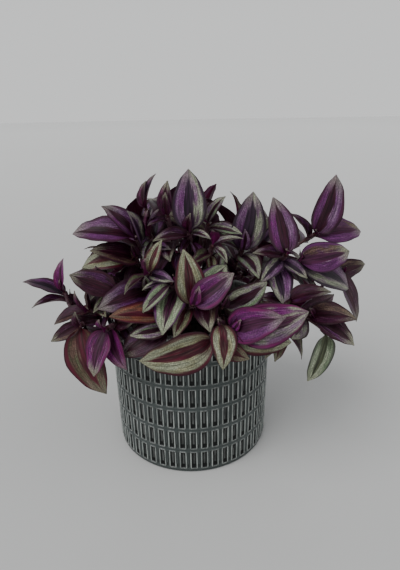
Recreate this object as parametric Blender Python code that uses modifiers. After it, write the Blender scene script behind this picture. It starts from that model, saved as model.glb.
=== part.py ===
"""Potted inch plant (Tradescantia zebrina): leafy stems rooted in soil, in a glazed pot of raised little frames.

Row frame: metres, +Z up, origin at the centre of the pot's foot, the plant's best side towards -Y. Lengths in this
script are millimetres until a mesh is made.
"""

import math
import random
from dataclasses import dataclass, field

import bmesh
import bpy
import numpy as np
from mathutils.bvhtree import BVHTree

MM = 0.001

# Pot: each profile below is in (radius, height)
POT_HEIGHT = 120.0
POT_FOOT_RADIUS = 65.0
POT_RIM_RADIUS = 66.4
POT_INNER_RADIUS = 61.0
POT_FLOOR = 6.0
POT_EDGE = 1.4
RELIEF_COLUMNS = 48
RELIEF_ROWS = 6
RELIEF_ROW_PITCH = 19.1
RELIEF_START = 2.4
CHANNEL_DEPTH = 0.75
CHANNEL_HALF_WIDTH = 1.7
PANEL_DEPTH = 1.15
FRAME_SLOPE = 0.9
FRONT_COLUMN_DEG = -88.6

# Soil
SOIL_TOP = 108.0
FIT_GAP = 0.3
HOLE_RADIUS = 2.8
HOLE_DEPTH = 7.0
HOLE_SIDES = 4

# Stems
STEM_RADIUS = 1.6
STEM_BURIED = HOLE_DEPTH - FIT_GAP
STEM_STEPS = 5
FIRST_NODE = 2.0
NODE_SPACING = 4.5

# Leaves
BLADE_THICKNESS = 0.7
BLADE_ASPECT = 0.6
YOUNG_LENGTH = 30.0
NECK_LENGTH = 2.2
NECK_HALF_WIDTH = 0.75
BLADE_STATIONS = (0.0, 0.16, 0.6, 1.0)
YOUNG_STATIONS = (0.0, 0.4, 1.0)
SISTER_STATIONS = (0.1, 0.35, 0.7, 1.0)
LEAF_CLEARANCE = 0.9
POT_CLEARANCE = 1.5
SOIL_CLEARANCE = 1.0
LEAF_LOWEST = 4.0
OLD_LEAF_SPACING = 11.0
OLD_LEAF_LOWEST = 10.0

# The widest turn, in degrees, that a leaf may make to find room
TOP_LEAF_TURN = 24
SPEAR_TURN = 36
OLD_LEAF_TURN = 42
SEED = 11


def unit(vector):
    vector = np.asarray(vector, float)
    return vector / np.linalg.norm(vector)


def direction(azimuth, elevation):
    """The unit vector at these angles in degrees: azimuth 0 is +X and 90 is +Y."""
    a, e = math.radians(azimuth), math.radians(elevation)
    return np.array([math.cos(e) * math.cos(a), math.cos(e) * math.sin(a), math.sin(e)])


def turned(vector, axis, degrees):
    """The vector turned about a unit axis."""
    a = math.radians(degrees)
    return (
        vector * math.cos(a)
        + np.cross(axis, vector) * math.sin(a)
        + axis * (axis @ vector) * (1 - math.cos(a))
    )


# ---------------------------------------------------------------- the plant's habit


@dataclass
class Leaf:
    """One blade: its base on the stem, the chord from base to tip, and the way its upper face looks."""

    base: np.ndarray
    chord: np.ndarray
    normal: np.ndarray
    bend: float
    fold: float
    wave: float
    bow: float

    @property
    def length(self):
        return float(np.linalg.norm(self.chord))

    @property
    def half_width(self):
        return 0.5 * self.length * BLADE_ASPECT * (1 if self.length > YOUNG_LENGTH else 0.85)


@dataclass
class Shoot:
    """One leafy stem: where it is rooted, where its growing tip is, the way it points there, and its leaves' reach."""

    name: str
    root: tuple
    tip: tuple
    heading: tuple
    reaches: list
    older: int
    rise: float = 34.0
    pull: float = 26.0
    path: np.ndarray = None
    leaves: list = field(default_factory=list)


def shoots_facing_front():
    """The shoots on the plant's best side. Each reach is a leaf's tip measured from its shoot's tip."""
    return [
        Shoot("heart", (0, -34), (4, -67, 146), (-65, 40), [(27, 0, 22), (0, 8, 36), (26, 10, 30), (-13, -12, -19)], 2),
        Shoot("front_skirt", (12, -46), (17, -75, 123), (-95, 25), [(-49, -13, -8), (24, -6, -12)], 0),
        Shoot("right_heart", (26, -34), (31, -73, 129), (-65, 35), [(50, 0, 13), (37, -14, 1), (36, -10, -11)], 2),
        Shoot("right_tail", (46, -16), (104, -42, 109), (-107, 20), [(-15, -12, -34)], 1, 44),
        Shoot("left_trail", (-46, -18), (-95, -26, 142), (-30, 80), [(1, 4, 24), (-30, 0, 8), (-22, -8, -2)], 0, 52, 55),
        Shoot("crown", (0, -12), (2, -30, 188), (-90, 30), [(0, 8, 42), (14, -16, 6), (-22, -10, 2)], 2),
        Shoot("crown_spear", (-8, 2), (-14, -22, 198), (-95, 60), [(1, 0, 24), (-14, -8, -6)], 2),
        Shoot("left_wing", (-30, -20), (-37, -30, 184), (-100, 30), [(-46, 2, 3), (-26, 2, 20), (-14, -4, 22)], 2),
        Shoot("left_fringe", (-34, -10), (-38, -28, 168), (-115, 40), [(-40, -4, -6), (-30, -12, 12)], 1),
        Shoot("right_fan", (36, -20), (72, -34, 170), (-103, 25), [(-10, 8, 40), (-24, -4, 4), (-20, -10, -18)], 1),
        Shoot("right_mast", (48, 0), (101, 0, 176), (-103, 25), [(13, 2, 45), (40, 4, 8), (-20, 2, 16)], 1, 50),
        Shoot("right_spire", (28, -10), (41, -20, 170), (-90, 35), [(8, 6, 42), (-16, -8, 16), (10, -22, -12)], 2),
        Shoot("left_skirt", (-40, -38), (-77, -56, 126), (-92, 30), [(17, -16, -47), (-20, -6, -10)], 2),
        Shoot("left_corner", (-28, -44), (-57, -65, 128), (-100, 20), [(-9, -13, -30), (2, -16, -25), (-8, -8, 12)], 2),
        Shoot("right_star", (42, -30), (92, -46, 125), (-70, 30), [(27, -14, -16), (30, -4, -4), (-20, -22, -6),
                                                                  (18, 8, 12), (4, 14, 22)], 0, 40),
        Shoot("right_shade", (30, -20), (76, -50, 140), (-75, 40), [(-16, -16, -6), (24, -8, 8), (8, -16, -16)], 0),
        Shoot("right_skirt", (36, -42), (66, -62, 122), (-75, 25), [(24, 0, -16), (-2, -18, -10)], 1),
        Shoot("front_left", (-22, -38), (-14, -66, 128), (-105, 20), [(-25, -8, -1), (-36, -7, -12)], 0),
        Shoot("front_russet", (-8, -44), (-13, -61, 136), (-105, 55), [(-41, -4, 2)], 1),
        Shoot("front_flag", (24, -42), (22, -72, 134), (-100, 15), [(1, -15, -27), (16, -14, -28)], 0),
        Shoot("left_eye", (-16, -30), (-27, -50, 163), (-90, 30), [(10, 2, 23), (18, -12, -2), (-14, -10, -4)], 2),
        Shoot("left_bank", (-36, -30), (-52, -46, 149), (-120, 35), [(-31, -1, 13), (-18, -6, -10)], 2),
        Shoot("left_shelf", (-42, -12), (-58, -34, 156), (-130, 40), [(-26, -1, 6), (-14, -12, -12)], 2),
        Shoot("left_ledge", (-46, -28), (-73, -48, 134), (-135, 35), [(-24, -4, -8), (-34, 2, -17), (-10, -8, 14)], 2),
        Shoot("heart_left", (-12, -26), (-11, -57, 158), (-105, 40), [(-20, -8, -18), (-22, 0, 4), (10, -4, 20)], 1),
        Shoot("right_behind", (20, -22), (24, -60, 140), (-65, 40), [(31, 4, 17), (32, 6, -2)], 1),
        Shoot("middle", (10, -18), (18, -36, 178), (-85, 35), [(10, -10, -10), (20, -4, 6), (-14, -12, -6)], 2),
        Shoot("crown_left", (-18, -8), (-28, -20, 182), (-110, 55), [(9, -2, 21), (-4, -14, -14), (14, -14, -6)], 2),
        Shoot("crown_young", (-14, 6), (-31, -6, 200), (-100, 80), [(8, 2, 25), (-8, -4, 12)], 2),
        Shoot("crown_right", (12, -4), (16, -18, 190), (-70, 45), [(12, -2, 20), (24, -10, -6)], 2),
        Shoot("right_arm", (42, -4), (82, -28, 162), (-70, 35), [(41, 10, 5), (50, 2, -15), (14, -14, -18)], 0, 50),
        Shoot("right_hook", (52, 8), (118, -6, 144), (-60, 15), [(18, -10, -38), (28, 6, 2)], 0, 50),
    ]


def shoots_by_rule(rng):
    """The shoots that fill the rest, in tiers: each spreads its shoots evenly over an arc round the pot."""
    tiers = (
        ("back_low", 6, (6, 160), 88, 126, 46, 10),
        ("back_mid", 6, (4, 176), 66, 156, 32, 35),
        ("back_top", 4, (10, 170), 36, 186, 16, 60),
        ("inner", 7, (0, 360), 48, 146, 26, 45),
    )
    shoots = []
    for tier, count, arc, reach, height, root_radius, elevation in tiers:
        for k in range(count):
            azimuth = arc[0] + (arc[1] - arc[0]) * (k + 0.5) / count + rng.uniform(-6, 6)
            out = reach + rng.uniform(-8, 8)
            tip = (*(out * direction(azimuth, 0)[:2]), height + rng.uniform(-9, 9))
            root = tuple(root_radius * direction(azimuth + rng.uniform(-8, 8), 0)[:2])
            heading = (azimuth + rng.uniform(-25, 25), elevation + rng.uniform(-10, 10))
            shoots.append(Shoot(f"{tier}_{k + 1}", root, tip, heading, rosette(heading, rng), 0))
    return shoots


def rosette(heading, rng):
    """The reaches of a shoot's top leaves: in two ranks, each leaf longer and opened wider than the one above."""
    ahead = direction(*heading)
    side = unit(np.cross(ahead, (0, 0, 1)))
    up = np.cross(side, ahead)
    roll = rng.uniform(-60, 60)
    reaches = []
    for k, (length, opening) in enumerate(((27, 35), (42, 55), (50, 78))):
        clock = math.radians(roll + 180 * k + rng.uniform(-20, 20))
        spread = math.radians(opening)
        out = math.cos(clock) * up + math.sin(clock) * side
        reaches.append(tuple(length * (math.cos(spread) * ahead + math.sin(spread) * out)))
    return reaches


def stem_path(shoot, rise, pull, sway):
    """Points up the stem's centre line: straight up out of its hole, then one smooth curve to the tip."""
    p0 = np.array([*shoot.root, SOIL_TOP], float)
    p3 = np.array(shoot.tip, float)
    aside = sway * unit(np.cross(p3 - p0, (0, 0.1, 1)))
    p1 = p0 + (0, 0, rise) + aside
    p2 = p3 - pull * direction(*shoot.heading) + aside
    t = np.linspace(0, 1, STEM_STEPS)[:, None]
    curve = (1 - t) ** 3 * p0 + 3 * t * (1 - t) ** 2 * p1 + 3 * t**2 * (1 - t) * p2 + t**3 * p3
    return np.vstack([p0 - (0, 0, STEM_BURIED), curve])


def along(path, back):
    """The point this far back from the tip of a path, and the way the path runs there."""
    for low, high in zip(path[-2::-1], path[:0:-1]):
        step = np.linalg.norm(high - low)
        if back <= step:
            return high + (low - high) * back / step, (high - low) / step
        back -= step
    return path[0], unit(path[1] - path[0])


def half_width_share(u):
    """A blade's half width along its length, as a share of the widest: ovate, with a drawn-out point."""
    return 2.44 * (u + 0.002) ** 0.5 * (1 - u) ** 0.88 * (1 - 0.22 * u**5)


def blade_points(leaf, stations, sides, margin=0.0, lift=0.0):
    """The blade's surface as an array of stations by sides: margin widens and lengthens it, lift raises it.

    The blade runs over stations 0 to 1. Below station 0 is its neck, which ends in the middle of the stem.
    """
    u = np.asarray(stations, float)[:, None]
    s = np.asarray(sides, float)[None, :]
    ahead = unit(leaf.chord)
    normal = unit(leaf.normal - ahead * (ahead @ leaf.normal))
    across = np.cross(ahead, normal)
    length = leaf.length + margin
    neck = NECK_LENGTH / length
    t = np.where(u < 0, 0, neck + (1 - neck) * u)
    bend = math.radians(leaf.bend)
    run = length * (math.sin(bend / 2) - np.sin(bend / 2 - bend * t)) / (2 * math.sin(bend / 2))
    arch = length * (np.cos(bend / 2 - bend * t) - math.cos(bend / 2)) / bend
    half = np.maximum(NECK_HALF_WIDTH, leaf.half_width * half_width_share(np.maximum(u, 0))) + margin
    half[u[:, 0] >= 1] = 0
    fold = np.radians(leaf.fold * (1.25 - 0.75 * t))
    wave = leaf.wave * np.sin(2.2 * math.pi * t + leaf.wave * 5) * s * half / leaf.half_width
    side = s * half * np.cos(fold) + leaf.bow * length * (t * t - t)
    height = arch + np.abs(s) * half * np.sin(fold) + wave + lift
    return leaf.base + run[..., None] * ahead + side[..., None] * across + height[..., None] * normal


def stations_of(leaf):
    return BLADE_STATIONS if leaf.length > YOUNG_LENGTH else YOUNG_STATIONS


def sheet(leaf, stations, margin=0.0, lift=0.0):
    """A blade's surface as points: its root, two points at the neck, then three at each station, and one tip."""
    grid = blade_points(leaf, (-1, *stations), (-1, 0, 1), margin, lift)
    return [grid[0, 1], grid[1, 0], grid[1, 2], *grid[2:-1].reshape(-1, 3), grid[-1, 1]]


def sheet_faces(stations):
    """The triangles of a blade's surface."""
    rows = len(stations) - 2
    faces = [(0, 1, 2), (1, 3, 4), (1, 4, 2), (2, 4, 5)]
    for row in range(rows - 1):
        for j in (3 + 3 * row, 4 + 3 * row):
            faces += [(j, j + 4, j + 1), (j, j + 3, j + 4)]
    left, tip = 3 * rows, 3 * rows + 3
    return faces + [(left, tip, left + 1), (left + 1, tip, left + 2)]


def sheet_rim(stations):
    """The closed loop of points round a blade's edge."""
    rows = len(stations) - 2
    left = [3 + 3 * row for row in range(rows)]
    return [0, 1, *left, 3 * rows + 3, *(i + 2 for i in reversed(left)), 2]


def blade_sheet(leaf):
    """The blade's middle surface as (points, triangles)."""
    stations = stations_of(leaf)
    return sheet(leaf, stations), sheet_faces(stations)


def blade_hull(leaf, stations):
    """A shell that keeps LEAF_CLEARANCE off the blade's given stations, as (points, triangles)."""
    lift = LEAF_CLEARANCE + BLADE_THICKNESS / 2
    upper = sheet(leaf, stations, LEAF_CLEARANCE, lift)
    lower = sheet(leaf, stations, LEAF_CLEARANCE, -lift)
    half = len(upper)
    faces = sheet_faces(stations) + [tuple(i + half for i in face) for face in sheet_faces(stations)]
    rim = sheet_rim(stations)
    for a, b in zip(rim, rim[1:] + rim[:1]):
        faces += [(a, b, b + half), (a, b + half, a + half)]
    return upper + lower, faces


def outer_hull(leaf):
    """The same shell round the blade's outer part only, which its sisters must clear."""
    points, faces = blade_hull(leaf, SISTER_STATIONS)
    half = len(points) // 2
    roots = {0, half}
    return points, [face for face in faces if not roots & set(face)]


def tube_faces(path, radius, sides=6):
    """A plain tube along a path as (points, triangles), for testing what crosses a stem."""
    points, faces = [], []
    for i, centre in enumerate(path):
        ahead = unit(path[min(i + 1, len(path) - 1)] - path[max(i - 1, 0)])
        side = unit(np.cross(ahead, (0.3, 1, 0.1)))
        up = np.cross(ahead, side)
        for k in range(sides):
            a = 2 * math.pi * k / sides
            points.append(centre + radius * (math.cos(a) * side + math.sin(a) * up))
    for i in range(len(path) - 1):
        for k in range(sides):
            a, b = i * sides + k, i * sides + (k + 1) % sides
            faces += [(a, b, b + sides), (a, b + sides, a + sides)]
    return points, faces


def turned_rings(profile, sides=48):
    """An open surface turned from a profile of (radius, z), as (points, triangles)."""
    points, faces = [], []
    for i, (radius, z) in enumerate(profile):
        for k in range(sides):
            turn = 2 * math.pi * k / sides
            points.append(np.array([radius * math.cos(turn), radius * math.sin(turn), z]))
            if i:
                a, b = i * sides + k, i * sides + (k + 1) % sides
                faces += [(a, b, b - sides), (a, b - sides, a - sides)]
    return points, faces


def pot_envelope():
    """A skin round the pot's walls, for testing what would touch them."""
    inside = POT_INNER_RADIUS - POT_CLEARANCE
    outside = POT_RIM_RADIUS + POT_CLEARANCE
    top = POT_HEIGHT + POT_CLEARANCE
    return turned_rings([(outside, 0), (outside, top), (inside, top), (inside, SOIL_TOP)])


def soil_envelope():
    """A skin over the soil, for testing what would touch it."""
    height = SOIL_TOP + SOIL_CLEARANCE
    return turned_rings([(POT_INNER_RADIUS, height), (STEM_RADIUS, height)])


class Room:
    """What already takes up space, by owner, so that a newcomer can be tested against it."""

    def __init__(self):
        self.solids = {}

    def add(self, owner, points, faces):
        self.solids.setdefault(owner, []).append((points, faces))

    def tree(self, owners):
        points, faces = [], []
        for owner in owners:
            for more_points, more_faces in self.solids.get(owner, []):
                faces += [tuple(i + len(points) for i in face) for face in more_faces]
                points += list(more_points)
        return BVHTree.FromPolygons(points, faces) if faces else None

    def others(self, owner):
        return self.tree([name for name in self.solids if name not in (owner, owner + " blades")])

    def own(self, owner):
        return self.tree([owner, owner + " blades"])


def crosses(points, faces, trees):
    tree = BVHTree.FromPolygons(points, faces)
    return any(other is not None and tree.overlap(other) for other in trees)


def lay_stems(shoots, room):
    """The shoots whose stem finds a curve that clears the pot and the stems before it, each with that curve."""
    curves = [
        (rise, pull, sway)
        for sway in (0, 9, -9, 18, -18, 27, -27)
        for pull in (1, 0.7, 1.4, 0.4)
        for rise in (1, 0.75, 1.3, 0.5, 1.6)
    ]
    laid = []
    for shoot in shoots:
        tree = room.tree(list(room.solids))
        for rise, pull, sway in curves:
            path = stem_path(shoot, rise * shoot.rise, pull * shoot.pull, sway)
            if not crosses(*tube_faces(path[1:], STEM_RADIUS + LEAF_CLEARANCE), [tree]):
                shoot.path = path
                room.add(shoot.name, *tube_faces(path, STEM_RADIUS))
                laid.append(shoot)
                break
    return laid


def postures(widest):
    """Small turns of a leaf about its base, mildest first: across, up and down, and a roll about its own length."""
    found = [(0, 0, 0)]
    for ring in range(0, widest + 1, 6):
        for k in range(8 if ring else 1):
            a = math.radians(45 * k)
            for roll in (0, 14, -14, 28, -28):
                found.append((ring * math.cos(a), ring * math.sin(a), roll))
    return sorted(found, key=lambda p: math.hypot(p[0], p[1]) + 0.4 * abs(p[2]))


def place_leaf(shoot, back, chord, widest, room, rng):
    """Gives the shoot a leaf in its mildest posture that clears other shoots and its own sisters, if there is one."""
    base, ahead = along(shoot.path, back)
    # The upper face looks along the stem, and a little to the light.
    normal = unit(ahead + 0.25 * np.array((0, 0, 1)))
    bend, fold = rng.uniform(18, 46), rng.uniform(12, 24)
    wave, bow = rng.uniform(-0.9, 0.9), rng.uniform(-0.2, 0.2)
    if np.linalg.norm(chord) < YOUNG_LENGTH:
        fold += 18
    side = np.cross(chord, normal)
    side = unit(side) if np.linalg.norm(side) > 1 else unit(np.cross(chord, (1, 0, 0.2)))
    others, own = room.others(shoot.name), room.own(shoot.name)
    for scale in (1, 0.88, 0.76, 0.64):
        for yaw, pitch, roll in postures(widest):
            turned_chord = turned(turned(chord * scale, normal, yaw), side, pitch)
            turned_normal = turned(turned(normal, side, pitch), unit(turned_chord), roll)
            leaf = Leaf(base, turned_chord, turned_normal, bend, fold, wave, bow)
            hull = blade_hull(leaf, stations_of(leaf))
            outer = outer_hull(leaf)
            low = min(point[2] for point in hull[0])
            if low > LEAF_LOWEST and not crosses(*hull, [others]) and not crosses(*outer, [own]):
                shoot.leaves.append(leaf)
                room.add(shoot.name + " blades", *blade_sheet(leaf))
                return


def grow_plant():
    """Every shoot with its stem and leaves in place: the top leaves first, then, on shoots that keep two older
    leaves, a rolled young one, and then the older ones."""
    rng = random.Random(SEED)
    room = Room()
    room.add("pot", *pot_envelope())
    shoots = lay_stems(shoots_facing_front() + shoots_by_rule(rng), room)
    room.add("soil", *soil_envelope())
    for shoot in shoots:
        for k, reach in enumerate(shoot.reaches):
            back = FIRST_NODE + NODE_SPACING * k
            base, _ = along(shoot.path, back)
            place_leaf(shoot, back, np.array(shoot.tip) + reach - base, TOP_LEAF_TURN, room, rng)
    for shoot in shoots:
        if shoot.older < 2:
            continue
        ahead = direction(*shoot.heading)
        side = unit(np.cross(ahead, (0.1, 0.2, 1)))
        spear = turned(ahead, side, rng.uniform(10, 30)) * rng.uniform(17, 24)
        place_leaf(shoot, FIRST_NODE, spear, SPEAR_TURN, room, rng)
    for shoot in shoots:
        turn = rng.uniform(0, 360)
        for k in range(shoot.older):
            back = NODE_SPACING * len(shoot.reaches) + OLD_LEAF_SPACING * (k + 0.6)
            base, ahead = along(shoot.path, back)
            if base[2] < SOIL_TOP + OLD_LEAF_LOWEST:
                break
            side = turned(unit(np.cross(ahead, (0.2, 0.1, 1))), ahead, turn + 180 * k)
            chord = rng.uniform(36, 50) * unit(side + 0.15 * ahead)
            place_leaf(shoot, back, chord, OLD_LEAF_TURN, room, rng)
    return shoots


# ---------------------------------------------------------------- solids


def clear_scene():
    for obj in list(bpy.data.objects):
        bpy.data.objects.remove(obj)


def new_collection(name):
    collection = bpy.data.collections.new(name)
    bpy.context.scene.collection.children.link(collection)
    return collection


def new_material(name, color, roughness):
    material = bpy.data.materials.new(name)
    material.use_nodes = True
    shader = material.node_tree.nodes["Principled BSDF"]
    shader.inputs["Base Color"].default_value = (*color, 1)
    shader.inputs["Roughness"].default_value = roughness
    shader.inputs["Metallic"].default_value = 0.0
    return material


def new_object(name, mesh, collection):
    obj = bpy.data.objects.new(name, mesh)
    collection.objects.link(obj)
    return obj


def apply_modifiers(obj):
    """Replaces the object's mesh with the mesh its modifiers give."""
    depsgraph = bpy.context.evaluated_depsgraph_get()
    mesh = bpy.data.meshes.new_from_object(obj.evaluated_get(depsgraph))
    obj.modifiers.clear()
    obj.data = mesh


def pot_radius(z):
    return POT_FOOT_RADIUS + (POT_RIM_RADIUS - POT_FOOT_RADIUS) * z / POT_HEIGHT


def pot_profile():
    """The pot's section from the middle of its inside floor, over the rim and down to the middle of its foot."""
    rows = [RELIEF_START + RELIEF_ROW_PITCH * k for k in range(RELIEF_ROWS, -1, -1)]
    return [
        (0, POT_FLOOR),
        (POT_INNER_RADIUS, POT_FLOOR),
        (POT_INNER_RADIUS, POT_HEIGHT),
        (POT_RIM_RADIUS - POT_EDGE, POT_HEIGHT),
        (pot_radius(POT_HEIGHT - POT_EDGE), POT_HEIGHT - POT_EDGE),
        *((pot_radius(z) - CHANNEL_DEPTH, z) for z in rows),
        (POT_FOOT_RADIUS - POT_EDGE, 0),
        (0, 0),
    ]


def raise_frames(mesh):
    """Raises a frame round a sunk panel in every cell of the outer wall, which leaves the channels between them."""
    shape = bmesh.new()
    shape.from_mesh(mesh)
    top = RELIEF_START + RELIEF_ROW_PITCH * RELIEF_ROWS
    cells = []
    for face in shape.faces:
        middle = face.calc_center_median() / MM
        if middle.xy.length > POT_INNER_RADIUS + 1 and RELIEF_START < middle.z < top:
            cells.append(face)
    for width, rise in ((CHANNEL_HALF_WIDTH, CHANNEL_DEPTH), (FRAME_SLOPE, -PANEL_DEPTH)):
        bmesh.ops.inset_individual(shape, faces=cells, thickness=width * MM, depth=rise * MM)
    shape.to_mesh(mesh)
    shape.free()


def make_pot(collection):
    profile = pot_profile()
    mesh = bpy.data.meshes.new("pot")
    turn = math.radians(FRONT_COLUMN_DEG - 180 / RELIEF_COLUMNS)
    points = [(r * MM * math.cos(turn), r * MM * math.sin(turn), z * MM) for r, z in profile]
    mesh.from_pydata(points, [(i, i + 1) for i in range(len(points) - 1)], [])
    pot = new_object("pot", mesh, collection)
    screw = pot.modifiers.new("turn", "SCREW")
    screw.steps = screw.render_steps = RELIEF_COLUMNS
    screw.use_merge_vertices = True
    screw.merge_threshold = 0.00001
    screw.use_smooth_shade = False
    apply_modifiers(pot)
    raise_frames(pot.data)
    pot.data.materials.append(new_material("glazed_stoneware", (0.12, 0.15, 0.14), 0.3))
    return pot


def make_soil(shoots, collection, cutters):
    """The soil, which fills the pot, with a plain hole for each stem."""
    bottom = POT_FLOOR + FIT_GAP
    bpy.ops.mesh.primitive_cylinder_add(
        vertices=RELIEF_COLUMNS,
        radius=(POT_INNER_RADIUS - FIT_GAP) * MM,
        depth=(SOIL_TOP - bottom) * MM,
        location=(0, 0, (SOIL_TOP + bottom) / 2 * MM),
        rotation=(0, 0, math.radians(FRONT_COLUMN_DEG - 180 / RELIEF_COLUMNS)),
    )
    soil = bpy.context.object
    soil.name = "soil"
    move_to(soil, collection)
    for shoot in shoots:
        bpy.ops.mesh.primitive_cylinder_add(
            vertices=HOLE_SIDES,
            radius=HOLE_RADIUS * MM,
            depth=2 * HOLE_DEPTH * MM,
            location=(shoot.root[0] * MM, shoot.root[1] * MM, SOIL_TOP * MM),
        )
        hole = bpy.context.object
        hole.name = shoot.name + "_hole"
        hole.hide_render = True
        hole.display_type = "WIRE"
        move_to(hole, cutters)
    cut = soil.modifiers.new("stem_holes", "BOOLEAN")
    cut.operation = "DIFFERENCE"
    cut.operand_type = "COLLECTION"
    cut.collection = cutters
    apply_modifiers(soil)
    for hole in list(cutters.objects):
        bpy.data.objects.remove(hole)
    bpy.data.collections.remove(cutters)
    soil.data.materials.append(new_material("potting_soil", (0.035, 0.022, 0.015), 0.95))
    return soil


def move_to(obj, collection):
    for other in list(obj.users_collection):
        other.objects.unlink(obj)
    collection.objects.link(obj)


def stem_mesh(shoot):
    """The stem as a closed tube along its path."""
    curve = bpy.data.curves.new(shoot.name, "CURVE")
    curve.dimensions = "3D"
    curve.bevel_depth = STEM_RADIUS * MM
    curve.bevel_resolution = 0
    curve.use_fill_caps = True
    spline = curve.splines.new("POLY")
    spline.points.add(len(shoot.path) - 1)
    for point, place in zip(spline.points, shoot.path):
        point.co = (*(place * MM), 1)
    tube = bpy.data.objects.new(shoot.name, curve)
    mesh = bpy.data.meshes.new_from_object(tube)
    bpy.data.objects.remove(tube)
    bpy.data.curves.remove(curve)
    weld = bmesh.new()
    weld.from_mesh(mesh)
    bmesh.ops.remove_doubles(weld, verts=weld.verts, dist=0.00001)
    weld.to_mesh(mesh)
    weld.free()
    return mesh


def islands(shape):
    """The shape's vertices in their connected groups."""
    left = set(shape.verts)
    groups = []
    while left:
        group, edge = set(), [left.pop()]
        while edge:
            vertex = edge.pop()
            group.add(vertex)
            for link in vertex.link_edges:
                other = link.other_vert(vertex)
                if other in left:
                    left.remove(other)
                    edge.append(other)
        groups.append(group)
    return groups


def fill_pockets(mesh):
    """Makes the mesh solid where blades that cross at their roots close off a pocket between them."""
    shape = bmesh.new()
    shape.from_mesh(mesh)
    groups = islands(shape)
    outside = max(groups, key=len)
    pockets = [vertex for group in groups if group is not outside for vertex in group]
    bmesh.ops.delete(shape, geom=pockets, context="VERTS")
    shape.to_mesh(mesh)
    shape.free()


def make_stem(shoot, material, collection):
    """One leafy stem: its tube with every blade fused in."""
    stem = new_object(shoot.name, stem_mesh(shoot), collection)
    blades = new_collection(shoot.name + "_blades")
    for k, leaf in enumerate(shoot.leaves):
        points, faces = blade_sheet(leaf)
        mesh = bpy.data.meshes.new(f"{shoot.name}_blade_{k + 1}")
        mesh.from_pydata([tuple(point * MM) for point in points], [], faces)
        blade = new_object(mesh.name, mesh, blades)
        thicken = blade.modifiers.new("thickness", "SOLIDIFY")
        thicken.thickness = BLADE_THICKNESS * MM
        thicken.offset = 0.0
    join = stem.modifiers.new("blades", "BOOLEAN")
    join.operation = "UNION"
    join.operand_type = "COLLECTION"
    join.collection = blades
    apply_modifiers(stem)
    for blade in list(blades.objects):
        bpy.data.objects.remove(blade)
    bpy.data.collections.remove(blades)
    fill_pockets(stem.data)
    stem.data.materials.clear()
    stem.data.materials.append(material)
    return stem


def main():
    clear_scene()
    shoots = grow_plant()
    parts = new_collection("potted_tradescantia")
    make_pot(parts)
    make_soil(shoots, parts, new_collection("stem_holes"))
    foliage = new_material("inch_plant_foliage", (0.16, 0.07, 0.11), 0.45)
    for shoot in shoots:
        make_stem(shoot, foliage, parts)


main()
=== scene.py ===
"""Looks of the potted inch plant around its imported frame: striped blades on sheathed stems, soil and a pot.

The growth rules repeat the part's own, in millimetres. Meshes and the stage are in metres, +Z up, the
plant's best side towards -Y.
"""

import math
import random
from dataclasses import dataclass, field
from itertools import product

import bpy
import numpy as np
from mathutils import Matrix, Vector, noise
from mathutils.bvhtree import BVHTree

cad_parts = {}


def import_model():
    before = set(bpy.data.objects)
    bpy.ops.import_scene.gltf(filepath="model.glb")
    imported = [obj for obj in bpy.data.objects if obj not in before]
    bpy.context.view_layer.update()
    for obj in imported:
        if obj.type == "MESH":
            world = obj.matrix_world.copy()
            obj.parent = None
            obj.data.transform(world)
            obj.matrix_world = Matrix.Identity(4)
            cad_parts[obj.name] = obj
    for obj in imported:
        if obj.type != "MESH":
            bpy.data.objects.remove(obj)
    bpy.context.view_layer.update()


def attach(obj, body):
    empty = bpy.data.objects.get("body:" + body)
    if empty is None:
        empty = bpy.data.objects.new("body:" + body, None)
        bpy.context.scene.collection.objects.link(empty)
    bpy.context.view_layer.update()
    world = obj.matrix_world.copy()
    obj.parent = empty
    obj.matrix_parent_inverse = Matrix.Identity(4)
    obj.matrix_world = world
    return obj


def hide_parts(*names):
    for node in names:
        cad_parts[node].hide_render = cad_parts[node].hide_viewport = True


MM = 0.001
UP = (0, 0, 1)
FULL_TURN = 6.28

# Pot
POT_HEIGHT = 120.0
POT_FOOT_RADIUS = 65.0
POT_RIM_RADIUS = 66.4
POT_INNER_RADIUS = 61.0
POT_FLOOR = 6.0
RELIEF_COLUMNS = 48
RELIEF_ROWS = 6
RELIEF_ROW_PITCH = 19.1
RELIEF_START = 2.4
FRONT_COLUMN_DEG = -88.6

# Soil
SOIL_TOP = 108.0
FIT_GAP = 0.3
HOLE_DEPTH = 7.0

# Stems
STEM_RADIUS = 1.6
STEM_BURIED = HOLE_DEPTH - FIT_GAP
STEM_STEPS = 5
FIRST_NODE = 2.0
NODE_SPACING = 4.5

# Leaves
BLADE_THICKNESS = 0.7
BLADE_ASPECT = 0.6
YOUNG_LENGTH = 30.0
NECK_LENGTH = 2.2
NECK_HALF_WIDTH = 0.75
BLADE_STATIONS = (0.0, 0.16, 0.6, 1.0)
YOUNG_STATIONS = (0.0, 0.4, 1.0)
SISTER_STATIONS = (0.1, 0.35, 0.7, 1.0)
LEAF_CLEARANCE = 0.9
POT_CLEARANCE = 1.5
SOIL_CLEARANCE = 1.0
LEAF_LOWEST = 4.0
OLD_LEAF_SPACING = 11.0
OLD_LEAF_LOWEST = 10.0

# The widest turn, in degrees, that a leaf may make to find room
TOP_LEAF_TURN = 24
SPEAR_TURN = 36
OLD_LEAF_TURN = 42
SEED = 11

# What is tried to find room, mildest first: a stem's rise, pull and sway; a leaf's turn, roll and size
STEM_RISES = (1, 0.75, 1.3, 0.5, 1.6)
STEM_PULLS = (1, 0.7, 1.4, 0.4)
STEM_SWAYS = (0, 9, -9, 18, -18, 27, -27)
TURN_STEP = 6
TURN_WAYS = 8
LEAF_ROLLS = (0, 14, -14, 28, -28)
ROLL_COST = 0.4
LEAF_SIZES = (1, 0.88, 0.76, 0.64)

# Sides of the tubes and of the turned skins that leaves and stems are tested against
TUBE_SIDES = 6
SKIN_SIDES = 48

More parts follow.
